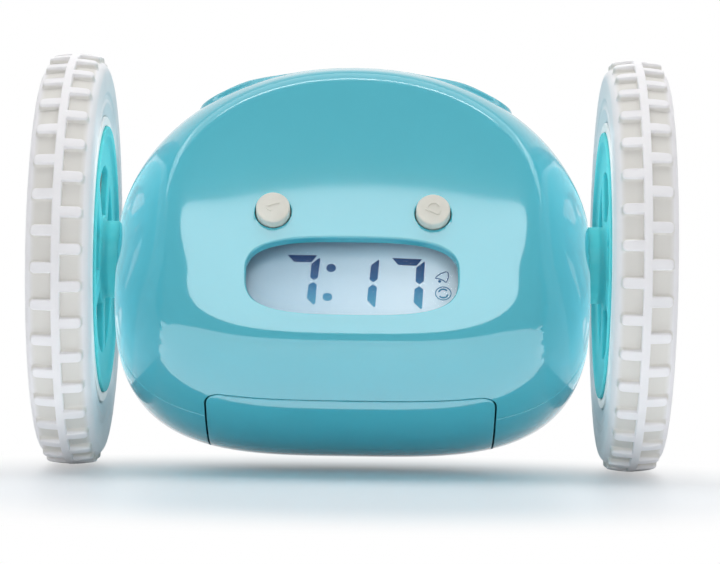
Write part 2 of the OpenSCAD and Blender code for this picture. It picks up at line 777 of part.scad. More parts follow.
module motor_pinion(side) {
    color(steel) on_side(side) in_plane(inner_plate + 0.2, motor_at) {
        cylinder(d = pin_d, h = plate_t + stage_w + 1.4);
        translate([0, 0, first_stage - inner_plate - 0.2]) linear_extrude(stage_w)
            gear_outline(pinion_teeth, motor_step_turn + 180 + 180 / pinion_teeth);
    }
}
module idler_gear(side) {
    color("white") on_side(side) in_plane(first_stage, idler_at) difference() {
        union() {
            linear_extrude(stage_w) gear_outline(idler_teeth, motor_step_turn);
            linear_extrude(outer_plate - first_stage - 0.3)
                gear_outline(small_teeth, idler_turn + 180 + 180 / small_teeth);
        }
        translate([0, 0, -1]) cylinder(d = pin_d + 2 * run_gap, h = 12);
    }
}
module axle_gear(side) {
    color("white") on_side(side) in_plane(second_stage) difference() {
        union() {
            linear_extrude(stage_w) gear_outline(axle_teeth, idler_turn);
            cylinder(r = axle_d / 2 + 1.6, h = stage_w + 0.7);
        }
        translate([0, 0, -1]) cylinder(d = axle_d, h = 12);
    }
}
module axle(side) {
    color(steel) on_side(side) in_plane(axle_start) cylinder(d = axle_d, h = axle_end - axle_start);
}
axle_end = overall_w / 2 - 4;

module gear_frame(side) {
    boss_r = axle_d / 2 + 2.6;
    pin_boss_r = 3.4;
    color("#d8d4c8") on_side(side) {
        difference() {
            union() {
                in_plane(inner_plate) {
                    linear_extrude(plate_t) frame_outline(boss_r, pin_boss_r);
                    linear_extrude(plate_t) translate([-motor_at[1], motor_at[0]]) circle(6);
                    linear_extrude(plate_t) translate([-motor_at[1] / 2, (motor_at[0] + idler_at[0]) / 2])
                        square([motor_reach, 2 * pin_boss_r], center = true);
                }
                in_plane(outer_plate) linear_extrude(plate_t) frame_outline(boss_r, pin_boss_r);
                in_plane(inner_plate, idler_at) cylinder(d = pin_d, h = outer_plate + plate_t - inner_plate);
                in_plane(inner_plate, [-spacer_at, 0])
                    cylinder(r = spacer_r, h = outer_plate + plate_t - inner_plate);
            }
            in_plane(axle_start - 1) cylinder(r = axle_d / 2 + run_gap, h = 20);
            in_plane(inner_plate - 1, motor_at) cylinder(r = 3.1, h = plate_t + 2);
        }
    }
}
module frame_outline(boss_r, pin_boss_r) {
    circle(boss_r);
    translate([0, idler_at[0]]) circle(pin_boss_r);
    translate([0, idler_at[0] / 2]) square([2 * pin_boss_r, idler_at[0]], center = true);
    translate([0, -spacer_at]) circle(spacer_r + 0.6);
    translate([0, -spacer_at / 2]) square([2 * spacer_r, spacer_at], center = true);
}
module motor(side) {
    color("#b9bcc0") on_side(side) {
        intersection() {
            in_plane(motor_start, motor_at) cylinder(d = motor_w, h = motor_len);
            translate([motor_start, motor_at[0] - motor_w / 2, axle_z + motor_at[1] - motor_h / 2])
                cube([motor_len, motor_w, motor_h]);
        }
        in_plane(motor_start - 1.5, motor_at) cylinder(r = 3, h = 2);
    }
}

// ---------- wheels ----------

tyre_out = overall_w / 2;
tyre_mid = tyre_out - tyre_w / 2;
tyre_in = tyre_out - tyre_w;
tread_r = wheel_d / 2 - lug_h;
crown_r = 22;
shoulder_drop = 2.6;
plate_w = 1.4;
hub_in = tyre_in - 1;
hub_back = hub_in + plate_depth + plate_w;
plate_face = tyre_out - 1.6;
dish_face = plate_face - plate_depth;
flange_r = 13.2;
outer_flange_r = 10.4;
opening_in = 9.6;
opening_out = 20.2;
neck_start = outer_end - 1.4;

module wheel_revolve(turn_start = 0) {
    translate([0, 0, axle_z]) along_x() rotate([0, 0, turn_start]) rotate_extrude() children();
}
// Radius of the tread at distance u from its middle
function crown_at(u) = tread_r - crown_r + sqrt(crown_r * crown_r - u * u);

module tyre_profile() {
    half = tyre_w / 2;
    shoulder = [for (a = [0 : 15 : 90]) [
        crown_at(half - shoulder_drop) - shoulder_drop * (1 - cos(a)),
        half - shoulder_drop + shoulder_drop * sin(a)
    ]];
    crown = [for (k = [0 : 1 : 5]) let (u = (half - shoulder_drop) * k / 5) [crown_at(u), u]];
    upper = concat(crown, shoulder, [[rim_r + 3, half], [rim_r, half - 1.4]]);
    lower = [for (i = [len(upper) - 1 : -1 : 1]) [upper[i][0], -upper[i][1]]];
    translate([0, tyre_mid]) polygon(concat(upper, lower));
}
module lug_band_profile() {
    reach = ridge_w / 2 + lug_len;
    tops = [for (k = [0 : 1 : 5]) let (u = (reach - 0.8) * k / 5) [crown_at(u) + lug_h, u]];
    ends = [for (a = [30 : 30 : 90]) [
        crown_at(reach) + lug_h - 1 + cos(a),
        reach - 0.8 + 0.8 * sin(a)
    ]];
    translate([0, tyre_mid]) polygon(concat([[tread_r - 3, 0]], tops, ends, [[tread_r - 3, reach]]));
}
// Narrow wedges round the axle, one for each lug
module lug_wedges(turn) {
    r = wheel_d / 2 + 2;
    half = lug_w / 2;
    for (i = [0 : lug_count - 1]) rotate([0, 0, turn + 360 * i / lug_count])
        translate([tread_r - 4, -half]) square([r - tread_r + 4, lug_w]);
}
module lug_row(outward, turn) {
    translate([0, 0, axle_z]) intersection() {
        translate([outward ? 0 : 2 * tyre_mid, 0, 0]) mirror([outward ? 0 : 1, 0, 0])
            along_x() rotate_extrude() lug_band_profile();
        translate([tyre_mid - tyre_w, 0, 0]) along_x() linear_extrude(2 * tyre_w) lug_wedges(turn);
    }
}
module tyre(side) {
    color(white) on_side(side) {
        wheel_revolve() tyre_profile();
        wheel_revolve() translate([tread_r - 1, tyre_mid - ridge_w / 2]) square([lug_h + 1, ridge_w]);
        lug_row(false, 0);
        lug_row(true, 180 / lug_count);
    }
}
module rim(side) {
    in_half = tyre_w / 2 - 0.2;
    seat_in = hub_back + 0.02 - tyre_mid;
    seat_out = plate_face - plate_w - 0.02 - tyre_mid;
    color(white) on_side(side) wheel_revolve() translate([0, tyre_mid]) polygon([
        [hub_r + 0.1, -in_half], [rim_r - 0.1, -in_half], [rim_r - 0.1, in_half],
        [hub_r + 0.1, in_half], [hub_r + 0.1, seat_out], [hub_r - 1.6, seat_out],
        [hub_r - 1.6, seat_in], [hub_r + 0.1, seat_in]
    ]);
}

// Openings between the spokes of a wheel plate
module plate_openings(start, depth, inner, outer, turn) {
    translate([start, 0, axle_z]) along_x() linear_extrude(depth) difference() {
        circle(outer);
        circle(inner);
        for (i = [0 : spoke_count - 1]) rotate([0, 0, turn + 360 * i / spoke_count])
            translate([0, -spoke_w / 2]) square([outer + 1, spoke_w]);
    }
}
module hub_plate(side) {
    floor_in = hub_in + plate_depth;
    boss_in = hub_back + 0.8;
    color(aqua) on_side(side) difference() {
        wheel_revolve() polygon([
            [axle_d / 2, neck_start], [neck_r, neck_start], [neck_r, floor_in], [hub_r - 3.4, floor_in],
            [hub_r - 1.8, hub_in], [hub_r, hub_in], [hub_r, hub_back], [neck_r, hub_back],
            [neck_r, boss_in], [flange_r, boss_in], [flange_r, boss_in + plate_w], [axle_d / 2, boss_in + plate_w]
        ]);
        plate_openings(hub_in, hub_back + 0.4 - hub_in, opening_in, opening_out, side * 20);
    }
}
module outer_plate_disc(side) {
    color(aqua) on_side(side) difference() {
        wheel_revolve() polygon([
            [axle_d / 2, dish_face - 2.6], [outer_flange_r, dish_face - 2.6], [outer_flange_r, dish_face - plate_w],
            [hub_r - 3.2, dish_face - plate_w], [hub_r - 1.8, plate_face - plate_w],
            [hub_r, plate_face - plate_w], [hub_r, plate_face], [hub_r - 1.6, plate_face],
            [hub_r - 3, dish_face], [axle_d / 2, dish_face]
        ]);
        plate_openings(dish_face - 3, 4, outer_flange_r + 2, opening_out + 2, side * 20);
    }
}
module axle_cap(side) {
    color(cream) on_side(side) wheel_revolve() polygon([
        [0, dish_face], [7, dish_face], [7, dish_face + 0.6], [5.8, dish_face + 1.2], [0, dish_face + 1.4]
    ]);
}

front_shell();
rear_shell();
snooze_bar();
eye_button(-1);  // left_eye_button
eye_button(1);  // right_eye_button
display_lens();
display_panel();
display_frame();
main_board();
board_screws();
face_switches();
snooze_board();
snooze_switch();
setting_button(-1);  // hour_button
setting_button(1);  // minute_button
setting_board();
setting_switches();
speaker();
battery_door();
battery_tray();
battery_contacts();
battery_cells();
case_screws();
gear_frame(-1);  // left_gear_frame
gear_frame(1);  // right_gear_frame
motor(-1);  // left_motor
motor(1);  // right_motor
motor_pinion(-1);  // left_motor_pinion
motor_pinion(1);  // right_motor_pinion
idler_gear(-1);  // left_idler_gear
idler_gear(1);  // right_idler_gear
axle_gear(-1);  // left_axle_gear
axle_gear(1);  // right_axle_gear
axle(-1);  // left_axle
axle(1);  // right_axle
hub_plate(-1);  // left_hub_plate
hub_plate(1);  // right_hub_plate
rim(-1);  // left_rim
rim(1);  // right_rim
tyre(-1);  // left_tyre
tyre(1);  // right_tyre
outer_plate_disc(-1);  // left_outer_plate
outer_plate_disc(1);  // right_outer_plate
axle_cap(-1);  // left_axle_cap
axle_cap(1);  // right_axle_cap
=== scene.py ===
import bpy
import math
from mathutils import Matrix, Vector


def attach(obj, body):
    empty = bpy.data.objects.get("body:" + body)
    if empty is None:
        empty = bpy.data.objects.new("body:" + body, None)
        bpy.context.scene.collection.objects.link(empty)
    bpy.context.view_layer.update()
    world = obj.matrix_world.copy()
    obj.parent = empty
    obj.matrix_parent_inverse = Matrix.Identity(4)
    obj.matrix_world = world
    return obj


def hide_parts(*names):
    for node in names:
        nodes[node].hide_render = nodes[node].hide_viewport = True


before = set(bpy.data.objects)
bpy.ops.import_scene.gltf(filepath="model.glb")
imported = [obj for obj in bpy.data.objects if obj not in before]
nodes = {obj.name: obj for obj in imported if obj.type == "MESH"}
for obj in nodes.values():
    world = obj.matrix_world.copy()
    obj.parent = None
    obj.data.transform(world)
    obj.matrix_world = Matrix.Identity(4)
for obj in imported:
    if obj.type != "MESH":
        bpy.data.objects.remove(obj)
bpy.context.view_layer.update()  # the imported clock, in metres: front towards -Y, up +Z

mm = 0.001
axleHeight = 44.45  # lengths below are in millimetres, angles in degrees
bpy.ops.object.select_all(action="DESELECT")


def activate(piece):
    bpy.ops.object.select_all(action="DESELECT")
    piece.select_set(True)
    bpy.context.view_layer.objects.active = piece
    return piece


def inEditMode(piece, *steps):
    activate(piece)
    bpy.ops.object.mode_set(mode="EDIT")
    bpy.ops.mesh.select_all(action="SELECT")
    for step in steps:
        step()
    bpy.ops.object.mode_set(mode="OBJECT")
    return piece


def mergeDoubles():
    bpy.ops.mesh.remove_doubles(threshold=0.000002)


def fillEnds():
    bpy.ops.mesh.select_all(action="DESELECT")
    bpy.ops.mesh.select_non_manifold()
    bpy.ops.mesh.fill_holes(sides=0)


def facesOut():
    bpy.ops.mesh.select_all(action="SELECT")
    bpy.ops.mesh.normals_make_consistent(inside=False)


def withModifier(piece, kind, **settings):
    activate(piece)
    modifier = piece.modifiers.new(kind.lower(), kind)
    for key, value in settings.items():
        setattr(modifier, key, value)
    bpy.ops.object.modifier_apply(modifier=modifier.name)
    return piece


def bevelled(piece, width, segments=3, angle=40):
    return withModifier(piece, "BEVEL", width=width * mm, segments=segments, limit_method="ANGLE",
                        angle_limit=math.radians(angle), use_clamp_overlap=False, harden_normals=False)


def cutAway(piece, *cutters):
    for cutter in cutters:
        withModifier(piece, "BOOLEAN", operation="DIFFERENCE", object=cutter, solver="EXACT")
        bpy.data.objects.remove(cutter)
    return piece


def joined(piece, *others):
    bpy.ops.object.select_all(action="DESELECT")
    for other in others:
        other.select_set(True)
    piece.select_set(True)
    bpy.context.view_layer.objects.active = piece
    bpy.ops.object.join()
    return piece


def gridPiece(name, columns, rows, placed, wrap=True, caps=True):
    # a grid whose points are moved to where placed(column, row) says
    bpy.ops.mesh.primitive_grid_add(x_subdivisions=columns, y_subdivisions=rows, size=2)
    piece = bpy.context.object
    piece.name = piece.data.name = name
    for vertex in piece.data.vertices:
        column, row = vertex.index % (columns + 1), vertex.index // (columns + 1)
        vertex.co = Vector(placed(column, row)) * mm
    steps = ([mergeDoubles] if wrap else []) + ([fillEnds] if caps else [])
    return inEditMode(piece, *steps, facesOut)


def spunPiece(name, profile, steps=144):
    # a closed profile of (radius, distance out along the axle), spun about the axle
    bpy.ops.mesh.primitive_circle_add(vertices=len(profile), radius=1)
    piece = bpy.context.object
    piece.name = piece.data.name = name
    for vertex, (radius, out) in zip(piece.data.vertices, profile):
        vertex.co = Vector((out, 0, axleHeight + radius)) * mm

    def spin():
        bpy.ops.mesh.spin(steps=steps, angle=2 * math.pi, center=(0, 0, axleHeight * mm), axis=(1, 0, 0))
        bpy.ops.mesh.select_all(action="SELECT")

    return inEditMode(piece, spin, mergeDoubles, facesOut)


def finished(piece, body, slotName, material, *standsFor, smooth=35):
    activate(piece)
    bpy.ops.object.transform_apply(location=True, rotation=True, scale=True)
    piece.data.materials.clear()
    piece.data.materials.append(material)
    bpy.ops.object.shade_smooth_by_angle(angle=math.radians(smooth))
    withModifier(piece, "WEIGHTED_NORMAL", keep_sharp=True, weight=60)
    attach(piece, body)
    if standsFor:
        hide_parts(*standsFor)
    bpy.ops.object.select_all(action="DESELECT")
    return piece


def arc(centre, radius, start, end, steps):
    turns = [math.radians(start + (end - start) * k / steps) for k in range(steps + 1)]
    return [(centre[0] + radius * math.cos(a), centre[1] + radius * math.sin(a)) for a in turns]


def shade(red, green, blue):
    # a colour as it looks on a screen, from 0 to 255, turned into light values
    scaled = [value / 255 for value in (red, green, blue)]
    return [v / 12.92 if v <= 0.04045 else ((v + 0.055) / 1.055) ** 2.4 for v in scaled] + [1]


def newMaterial(name):
    material = bpy.data.materials.new(name)
    material.use_nodes = True
    tree = material.node_tree
    return material, tree, tree.nodes["Principled BSDF"]


def addNode(tree, kind, **settings):
    node = tree.nodes.new(kind)
    for key, value in settings.items():
        if key in node.inputs:
            node.inputs[key].default_value = value
        else:
            setattr(node, key, value)
    return node


def noiseOn(tree, scale, detail=3):
    coordinates = addNode(tree, "ShaderNodeTexCoord")
    noise = addNode(tree, "ShaderNodeTexNoise", Scale=scale, Detail=detail)
    tree.links.new(coordinates.outputs["Object"], noise.inputs["Vector"])
    return noise.outputs["Fac"]


def rampOn(tree, factor, *stops):
    ramp = addNode(tree, "ShaderNodeValToRGB")
    elements = ramp.color_ramp.elements
    while len(elements) < len(stops):
        elements.new(0.5)
    for element, (place, colour) in zip(elements, stops):
        element.position, element.color = place, colour
    tree.links.new(factor, ramp.inputs["Fac"])
    return ramp.outputs["Color"]


def rangeOn(tree, factor, start, end, low=0, high=1, **settings):
    # low where the factor is at start, high where it is at end
    spread = addNode(tree, "ShaderNodeMapRange", **settings)
    for key, value in (("From Min", start), ("From Max", end), ("To Min", low), ("To Max", high)):
        spread.inputs[key].default_value = value
    tree.links.new(factor, spread.inputs["Value"])
    return spread.outputs["Result"]


def spreadOn(tree, factor, low, high):
    return rangeOn(tree, factor, 0, 1, low, high)


def distanceOn(tree, location, scale):
    # how far a point lies from the middle, once it is scaled and moved
    coordinates = addNode(tree, "ShaderNodeTexCoord")
    centred = addNode(tree, "ShaderNodeMapping", Location=location, Scale=scale)
    tree.links.new(coordinates.outputs["Object"], centred.inputs["Vector"])
    distance = addNode(tree, "ShaderNodeVectorMath", operation="LENGTH")
    tree.links.new(centred.outputs["Vector"], distance.inputs[0])
    return distance.outputs["Value"]


def moulded(name, light, dark, rough=(0.2, 0.3), cloud=60, grain=2500, grainDepth=0.02, **sockets):
    # moulded plastic, rubber or metal: a slow change of tone, uneven gloss and a fine grain
    material, tree, shader = newMaterial(name)
    slow = noiseOn(tree, cloud, 4)
    tree.links.new(rampOn(tree, slow, (0.3, dark), (0.7, light)), shader.inputs["Base Color"])
    tree.links.new(spreadOn(tree, noiseOn(tree, cloud * 6, 5), *rough), shader.inputs["Roughness"])
    bump = addNode(tree, "ShaderNodeBump", Strength=0.35, Distance=grainDepth * mm)
    tree.links.new(noiseOn(tree, grain, 2), bump.inputs["Height"])
    tree.links.new(bump.outputs["Normal"], shader.inputs["Normal"])
    for key, value in sockets.items():
        shader.inputs[key].default_value = value
    return material


def tyreRubber(name):
    # pale rubber, with painted shade: a greyer tone down between the lugs, where the tread's recesses lie
    # in shade
    material = moulded(name, shade(241, 240, 242), shade(235, 234, 236), (0.55, 0.7), 90, 3800, 0.05,
                       **{"Specular IOR Level": 0.15})
    tree = material.node_tree
    shader = tree.nodes["Principled BSDF"]
    colour = shader.inputs["Base Color"].links[0].from_socket
    fromAxle = distanceOn(tree, (0, 0, -axleHeight * mm), (0, 1, 1))
    place = rangeOn(tree, fromAxle, 42 * mm, 44.5 * mm)
    black, white = [0, 0, 0, 1], [1, 1, 1, 1]
    # painted shade in the recesses: the band of radii at the tread's floor, between the lugs, is mixed
    # towards grey
    recessShade = rampOn(tree, place, (0.12, black), (0.3, white), (0.52, white), (0.72, black))
    mix = addNode(tree, "ShaderNodeMix", data_type="RGBA")
    tree.links.new(recessShade, mix.inputs["Factor"])
    tree.links.new(colour, mix.inputs[6])
    mix.inputs[7].default_value = shade(219, 217, 212)
    tree.links.new(mix.outputs[2], shader.inputs["Base Color"])
    return material


def slantOn(tree, turn, start, end):
    # how far a point lies along direction turn of the front view, from 0 at start to 1 at end
    coordinates = addNode(tree, "ShaderNodeTexCoord")
    slant = addNode(tree, "ShaderNodeVectorMath", operation="DOT_PRODUCT")
    a = math.radians(turn)
    slant.inputs[1].default_value = (math.cos(a), 0, math.sin(a))
    tree.links.new(coordinates.outputs["Object"], slant.inputs[0])
    return rangeOn(tree, slant.outputs["Value"], start * mm, end * mm)


def crystalFinish(name):
    # the grey of a liquid crystal panel, with painted shade: darker at the upper left, under the window's
    # rim
    material, tree, shader = newMaterial(name)
    # painted shade: darkest at the upper left, paling towards the lower right
    tone = rampOn(tree, slantOn(tree, -50, -47, -6), (0, shade(128, 166, 188)),
                  (0.35, shade(172, 204, 222)), (0.7, shade(208, 230, 243)), (1, shade(222, 238, 246)))
    tree.links.new(tone, shader.inputs["Base Color"])
    tree.links.new(spreadOn(tree, noiseOn(tree, 900, 2), 0.3, 0.42), shader.inputs["Roughness"])
    shader.inputs["Specular IOR Level"].default_value = 0.3
    return material


def inkFinish(name):
    # the display's digits and icons, dark at the top and paler further down
    material, tree, shader = newMaterial(name)
    tone = rampOn(tree, slantOn(tree, 90, 35, 46), (0, shade(88, 172, 204)),
                  (0.35, shade(64, 138, 180)), (0.6, shade(36, 92, 144)), (1, shade(12, 52, 106)))
    tree.links.new(tone, shader.inputs["Base Color"])
    tree.links.new(spreadOn(tree, noiseOn(tree, 1500, 2), 0.35, 0.5), shader.inputs["Roughness"])
    shader.inputs["Specular IOR Level"].default_value = 0.05
    return material


def clearFinish(name):
    # thin clear acrylic: mostly see-through, with a faint haze of handling
    material, tree, shader = newMaterial(name)
    tone = rampOn(tree, noiseOn(tree, 140, 3), (0.3, shade(226, 238, 246)), (0.7, shade(236, 244, 250)))
    tree.links.new(tone, shader.inputs["Base Color"])
    tree.links.new(spreadOn(tree, noiseOn(tree, 260, 4), 0.04, 0.12), shader.inputs["Roughness"])
    shader.inputs["Alpha"].default_value = 0.015
    return material


finishes = {material.name.split(".")[0]: material for material in (
    moulded("aquaShell", shade(80, 183, 200), shade(76, 179, 196), (0.1, 0.14), 30, 700, 0.003,
            **{"Coat Weight": 0.5, "Coat Roughness": 0.045, "Specular IOR Level": 0.1}),
    moulded("aquaHub", shade(94, 200, 206), shade(88, 194, 200), (0.34, 0.42), 60, 1500, 0.006,
            **{"Coat Weight": 0.08, "Coat Roughness": 0.2, "Specular IOR Level": 0,
               "Subsurface Weight": 0.7, "Subsurface Radius": (0.6, 1, 1.1), "Subsurface Scale": 0.003}),
    moulded("creamButton", shade(218, 217, 208), shade(209, 207, 197), (0.42, 0.54), 160, 5000,
            **{"Specular IOR Level": 0.15}),
    tyreRubber("whiteTyre"),
    moulded("whiteRim", shade(246, 247, 246), shade(238, 240, 240), (0.28, 0.4), 90, 2500),
    moulded("innerPlastic", shade(84, 170, 184), shade(76, 160, 175), (0.4, 0.55)),
    moulded("darkPlastic", shade(58, 62, 66), shade(44, 47, 51), (0.4, 0.55)),
    moulded("boardLaminate", shade(62, 118, 84), shade(46, 98, 68), (0.3, 0.45), 220, 3000),
    moulded("screwSteel", shade(200, 200, 204), shade(172, 172, 176), (0.22, 0.36), 700, 6000, Metallic=1),
    moulded("cellJacket", shade(88, 98, 112), shade(72, 82, 96), (0.2, 0.34), 120, 3000, 0.01,
            Metallic=0.7),
    moulded("motorCan", shade(196, 198, 202), shade(170, 172, 178), (0.24, 0.4), 300, 5000, Metallic=1),
    moulded("gearNylon", shade(240, 240, 235), shade(230, 229, 222), (0.34, 0.46), 160, 3000),
    moulded("framePlastic", shade(222, 217, 203), shade(208, 203, 188), (0.36, 0.5), 160, 3000),
    crystalFinish("crystalPanel"),
    inkFinish("displayInk"),
    clearFinish("clearLens"),
)}
print("finishes made")

housing = {
    "radius": 42, "halfWidth": 51.5, "end": 50.3, "wall": 2.2, "bore": 8.8,
    "face": 28.4, "faceTilt": 28, "browSharpness": 45, "chinSharpness": 12,
    "topFullness": 2.1, "bottomFullness": 3.5, "fullBelow": 0.174, "fullOver": 0.16,
    "seam": 54, "seamRound": 0.22, "seamGap": 0.15,
    "stations": 48, "innerStations": 14, "browHalf": 4, "leastHalf": 16,
    "frontLines": (18, 26, 12, 24), "rearLines": 72,
}


def smoothStep(value):
    value = max(0, min(1, value))
    return value * value * (3 - 2 * value)


def barrelAt(x, turn, wall=0):
    # radius of the barrel, whose ends are fuller below the axle than above it
    up = math.sin(math.radians(turn)) + housing["fullBelow"]
    low = 1 / (1 + math.exp(up / housing["fullOver"]))
    n = housing["topFullness"] + (housing["bottomFullness"] - housing["topFullness"]) * low
    share = abs(x) / (housing["halfWidth"] - wall)
    return (housing["radius"] - wall) * max(0.0001, 1 - share ** n) ** (1 / n)


def skinAt(x, turn, wall=0):
    # radius of the barrel's skin in direction turn, up from the front, where the face cuts it off
    barrel = barrelAt(x, turn, wall)
    face = (housing["face"] - wall) / max(0.02, math.cos(math.radians(turn - housing["faceTilt"])))
    nearBrow = smoothStep((turn - housing["faceTilt"] + 30) / 60)
    p = housing["chinSharpness"] + (housing["browSharpness"] - housing["chinSharpness"]) * nearBrow
    return barrel * (1 + (barrel / face) ** p) ** (-1 / p)


def polar(x, turn, radius):
    turn = math.radians(turn)
    return (x, -radius * math.cos(turn), axleHeight + radius * math.sin(turn))


def foldAt(x, side):
    # direction of the brow (side 1) or of the fold under the face (side -1) at station x
    turn = housing["faceTilt"] + side * 45
    for _ in range(8):
        reach = min(math.cos(math.radians(housing["leastHalf"])), housing["face"] / barrelAt(x, turn))
        turn = housing["faceTilt"] + side * math.degrees(math.acos(reach))
    return turn


def spaced(start, end, count):
    return [start + (end - start) * k / count for k in range(count)]


def frontLines(x):
    # directions of the front shell's meridians at station x, closest together along the brow
    low, high, half = foldAt(x, -1), foldAt(x, 1), housing["browHalf"]
    first, last = -housing["seam"], 180 - housing["seam"]
    chin, middle, brow, top = housing["frontLines"]
    return (spaced(first, low, chin) + spaced(low, high - half, middle)
            + spaced(high - half, high + half, brow) + spaced(high + half, last, top) + [last])


def rearLines(x):
    seam, gap = housing["seam"], housing["seamGap"]
    first, last = 180 + gap - seam, 360 - gap - seam
    return spaced(first, last, housing["rearLines"]) + [last]


def shellPiece(name, linesAt):
    # each meridian runs out over the skin, round the end into the bore, and back along the inside
    end, wall, bore = housing["end"], housing["wall"], housing["bore"]
    count, few = housing["stations"], housing["innerStations"]
    outer = [end * math.sin(math.radians(90 * k / count)) for k in range(-count, count + 1)]
    inner = [(end - wall) * math.sin(math.radians(90 * k / few)) for k in range(few, -few - 1, -1)]
    lines = {x: linesAt(x) for x in outer + inner}

    def section(row):
        path = [polar(x, lines[x][row], skinAt(x, lines[x][row])) for x in outer]
        for side, at in ((1, end), (-1, end)):
            turn = lines[side * at][row]
            rim = skinAt(at, turn)
            ring = [polar(side * at, turn, bore + (rim - bore) * share) for share in (0.66, 0.33, 0)]
            ring.append(polar(side * (end - wall), turn, bore))
            if side > 0:
                path += ring
                path += [polar(x, lines[x][row], skinAt(x, lines[x][row], wall)) for x in inner]
            else:
                path += ring[::-1]
        return path

    sections = [section(row) for row in range(len(lines[outer[0]]))]
    rows = [path + [path[0]] for path in sections]
    piece = gridPiece(name, len(rows[0]) - 1, len(rows) - 1, lambda column, row: rows[row][column])
    return bevelled(piece, housing["seamRound"], 3, 50)


def over(turn, x, along, height):
    # a point over the axle in direction turn: along is across the radius, towards larger turns
    a = math.radians(turn)
    return (x, -height * math.cos(a) + along * math.sin(a),
            axleHeight + height * math.sin(a) + along * math.cos(a))


def softened(points, steps=4):
    # a closed outline of (x, y, rounding) with its corners rounded
    path = []
    for k, (x, y, rounding) in enumerate(points):
        corner = Vector((x, y))
        before = Vector(points[k - 1][:2]) - corner
        after = Vector(points[(k + 1) % len(points)][:2]) - corner
        reach = min(rounding, before.length / 2, after.length / 2)
        if reach < 0.01:
            path.append((x, y))
            continue
        start, end = corner + before.normalized() * reach, corner + after.normalized() * reach
        for j in range(steps + 1):
            t = j / steps
            path.append(tuple(start * (1 - t) ** 2 + corner * 2 * t * (1 - t) + end * t * t))
    return path


def roundPiece(name, profile, placed, count=48):
    # a turned piece on any axis: placed(x, along, height) gives a point, profile is (radius, height)
    def point(column, row):
        radius, height = profile[row]
        a = 2 * math.pi * (column % count) / count
        return placed(radius * math.cos(a), radius * math.sin(a), height)

    return gridPiece(name, count, len(profile) - 1, point)


def platePiece(name, outline, turn, low, high):
    # a flat plate with a closed outline of (x, along), from low to high over the axle
    def placed(column, row):
        x, along = outline[column % len(outline)]
        return over(turn, x, along, (low, high)[row])

    return gridPiece(name, len(outline), 1, placed)


def bandPiece(name, path, width, turn, low, high, closed=False):
    # a flat band of one width along a path of (x, along)
    count = len(path)

    def placed(column, row):
        k = column % count
        before = path[k - 1] if closed or k else path[0]
        after = path[(k + 1) % count] if closed or k < count - 1 else path[k]
        across = Vector((before[1] - after[1], after[0] - before[0])).normalized() * width / 2
        side, height = ((-1, low), (-1, high), (1, high), (1, low), (-1, low))[row]
        return over(turn, path[k][0] + side * across.x, path[k][1] + side * across.y, height)

    return gridPiece(name, count if closed else count - 1, 4, placed)


def skinOver(turn, x, along):
    # height of the skin over the axle at (x, along), from a guess that a few rounds put right
    height = 40
    for _ in range(8):
        radius = skinAt(x, turn + math.degrees(math.atan2(along, height)))
        height = math.sqrt(max(1, radius * radius - along * along))
    return height


def flared(radius, depth):
    # (height over the skin, growth of the outline) of a cutter that leaves a rounded edge
    rounded = [(-radius + radius * math.sin(math.radians(a)), radius - radius * math.cos(math.radians(a)))
               for a in (0, 20, 40, 60, 75)]
    return [(-depth, 0)] + rounded + [(radius * 0.12, radius * 1.32), (6, radius * 1.32)]


def skinCutter(name, turn, outline, count, rings):
    # a cutter that follows the skin: outline(share of a turn, growth) gives a point across direction turn
    def placed(column, row):
        height, grow = rings[row]
        x, along = outline((column % count) / count, grow)
        return over(turn, x, along, skinOver(turn, x, along) + height)

    return gridPiece(name, count, len(rings) - 1, placed)


def roundOutline(x, along, radius):
    def outline(share, grow):
        a = share * 2 * math.pi
        return x + (radius + grow) * math.cos(a), along + (radius + grow) * math.sin(a)

    return outline


def signedPower(value, power):
    return math.copysign(abs(value) ** power, value)


window = {"width": 43.8, "height": 17.4, "drop": 17.65, "squareness": 3.2, "round": 0.5}


def windowOutline(share, grow):
    a, p = share * 2 * math.pi, 2 / window["squareness"]
    return ((window["width"] / 2 + grow) * signedPower(math.cos(a), p),
            -window["drop"] + (window["height"] / 2 + grow) * signedPower(math.sin(a), p))


snooze = {
    "turn": 97, "length": 69, "width": 14, "proud": 1.2, "depth": 3.6, "gap": 0.25, "round": 0.4,
    "levelHalf": 14, "riseLength": 11, "leastProud": 0.1, "crown": 0.12, "edge": 0.92, "points": 120,
}


def pillOutline(length, width):
    def outline(share, grow):
        a = share * 2 * math.pi
        straight = (length - width) / 2
        end = width / 2 + grow
        shareOut = max(-1, min(1, math.cos(a) * 3))
        return shareOut * straight + end * math.cos(a), end * math.sin(a)

    return outline


door = {
    "front": 43, "rear": 88, "width": 60.4, "corner": 3.5, "gap": 0.3, "round": 0.25, "edge": 0.14,
    "notch": 10.8, "notchDepth": 1, "notchFlare": 0.6, "columns": 40, "rows": 24,
}


def doorTurns(grow, count):
    # directions of the door's rows, close together in its rounded corners
    perMm = 180 / math.pi / housing["radius"]
    low, high = -door["rear"] - grow * perMm, -door["front"] + grow * perMm
    corner = (door["corner"] + grow) * perMm
    bends = [corner * (1 - math.cos(math.radians(15 * k))) for k in range(7)]
    middle = [low + corner + (high - low - 2 * corner) * k / count for k in range(1, count)]
    return [low + d for d in bends] + middle + [high - d for d in reversed(bends)]


def doorHalf(turn, grow):
    # half the door's width in direction turn, less where a corner is rounded
    perMm = 180 / math.pi / housing["radius"]
    radius = door["corner"] + grow
    past = min(turn + door["rear"] + grow * perMm, -door["front"] + grow * perMm - turn) / perMm
    short = max(0, radius - past)
    return door["width"] / 2 + grow - (radius - math.sqrt(max(0, radius * radius - short * short)))


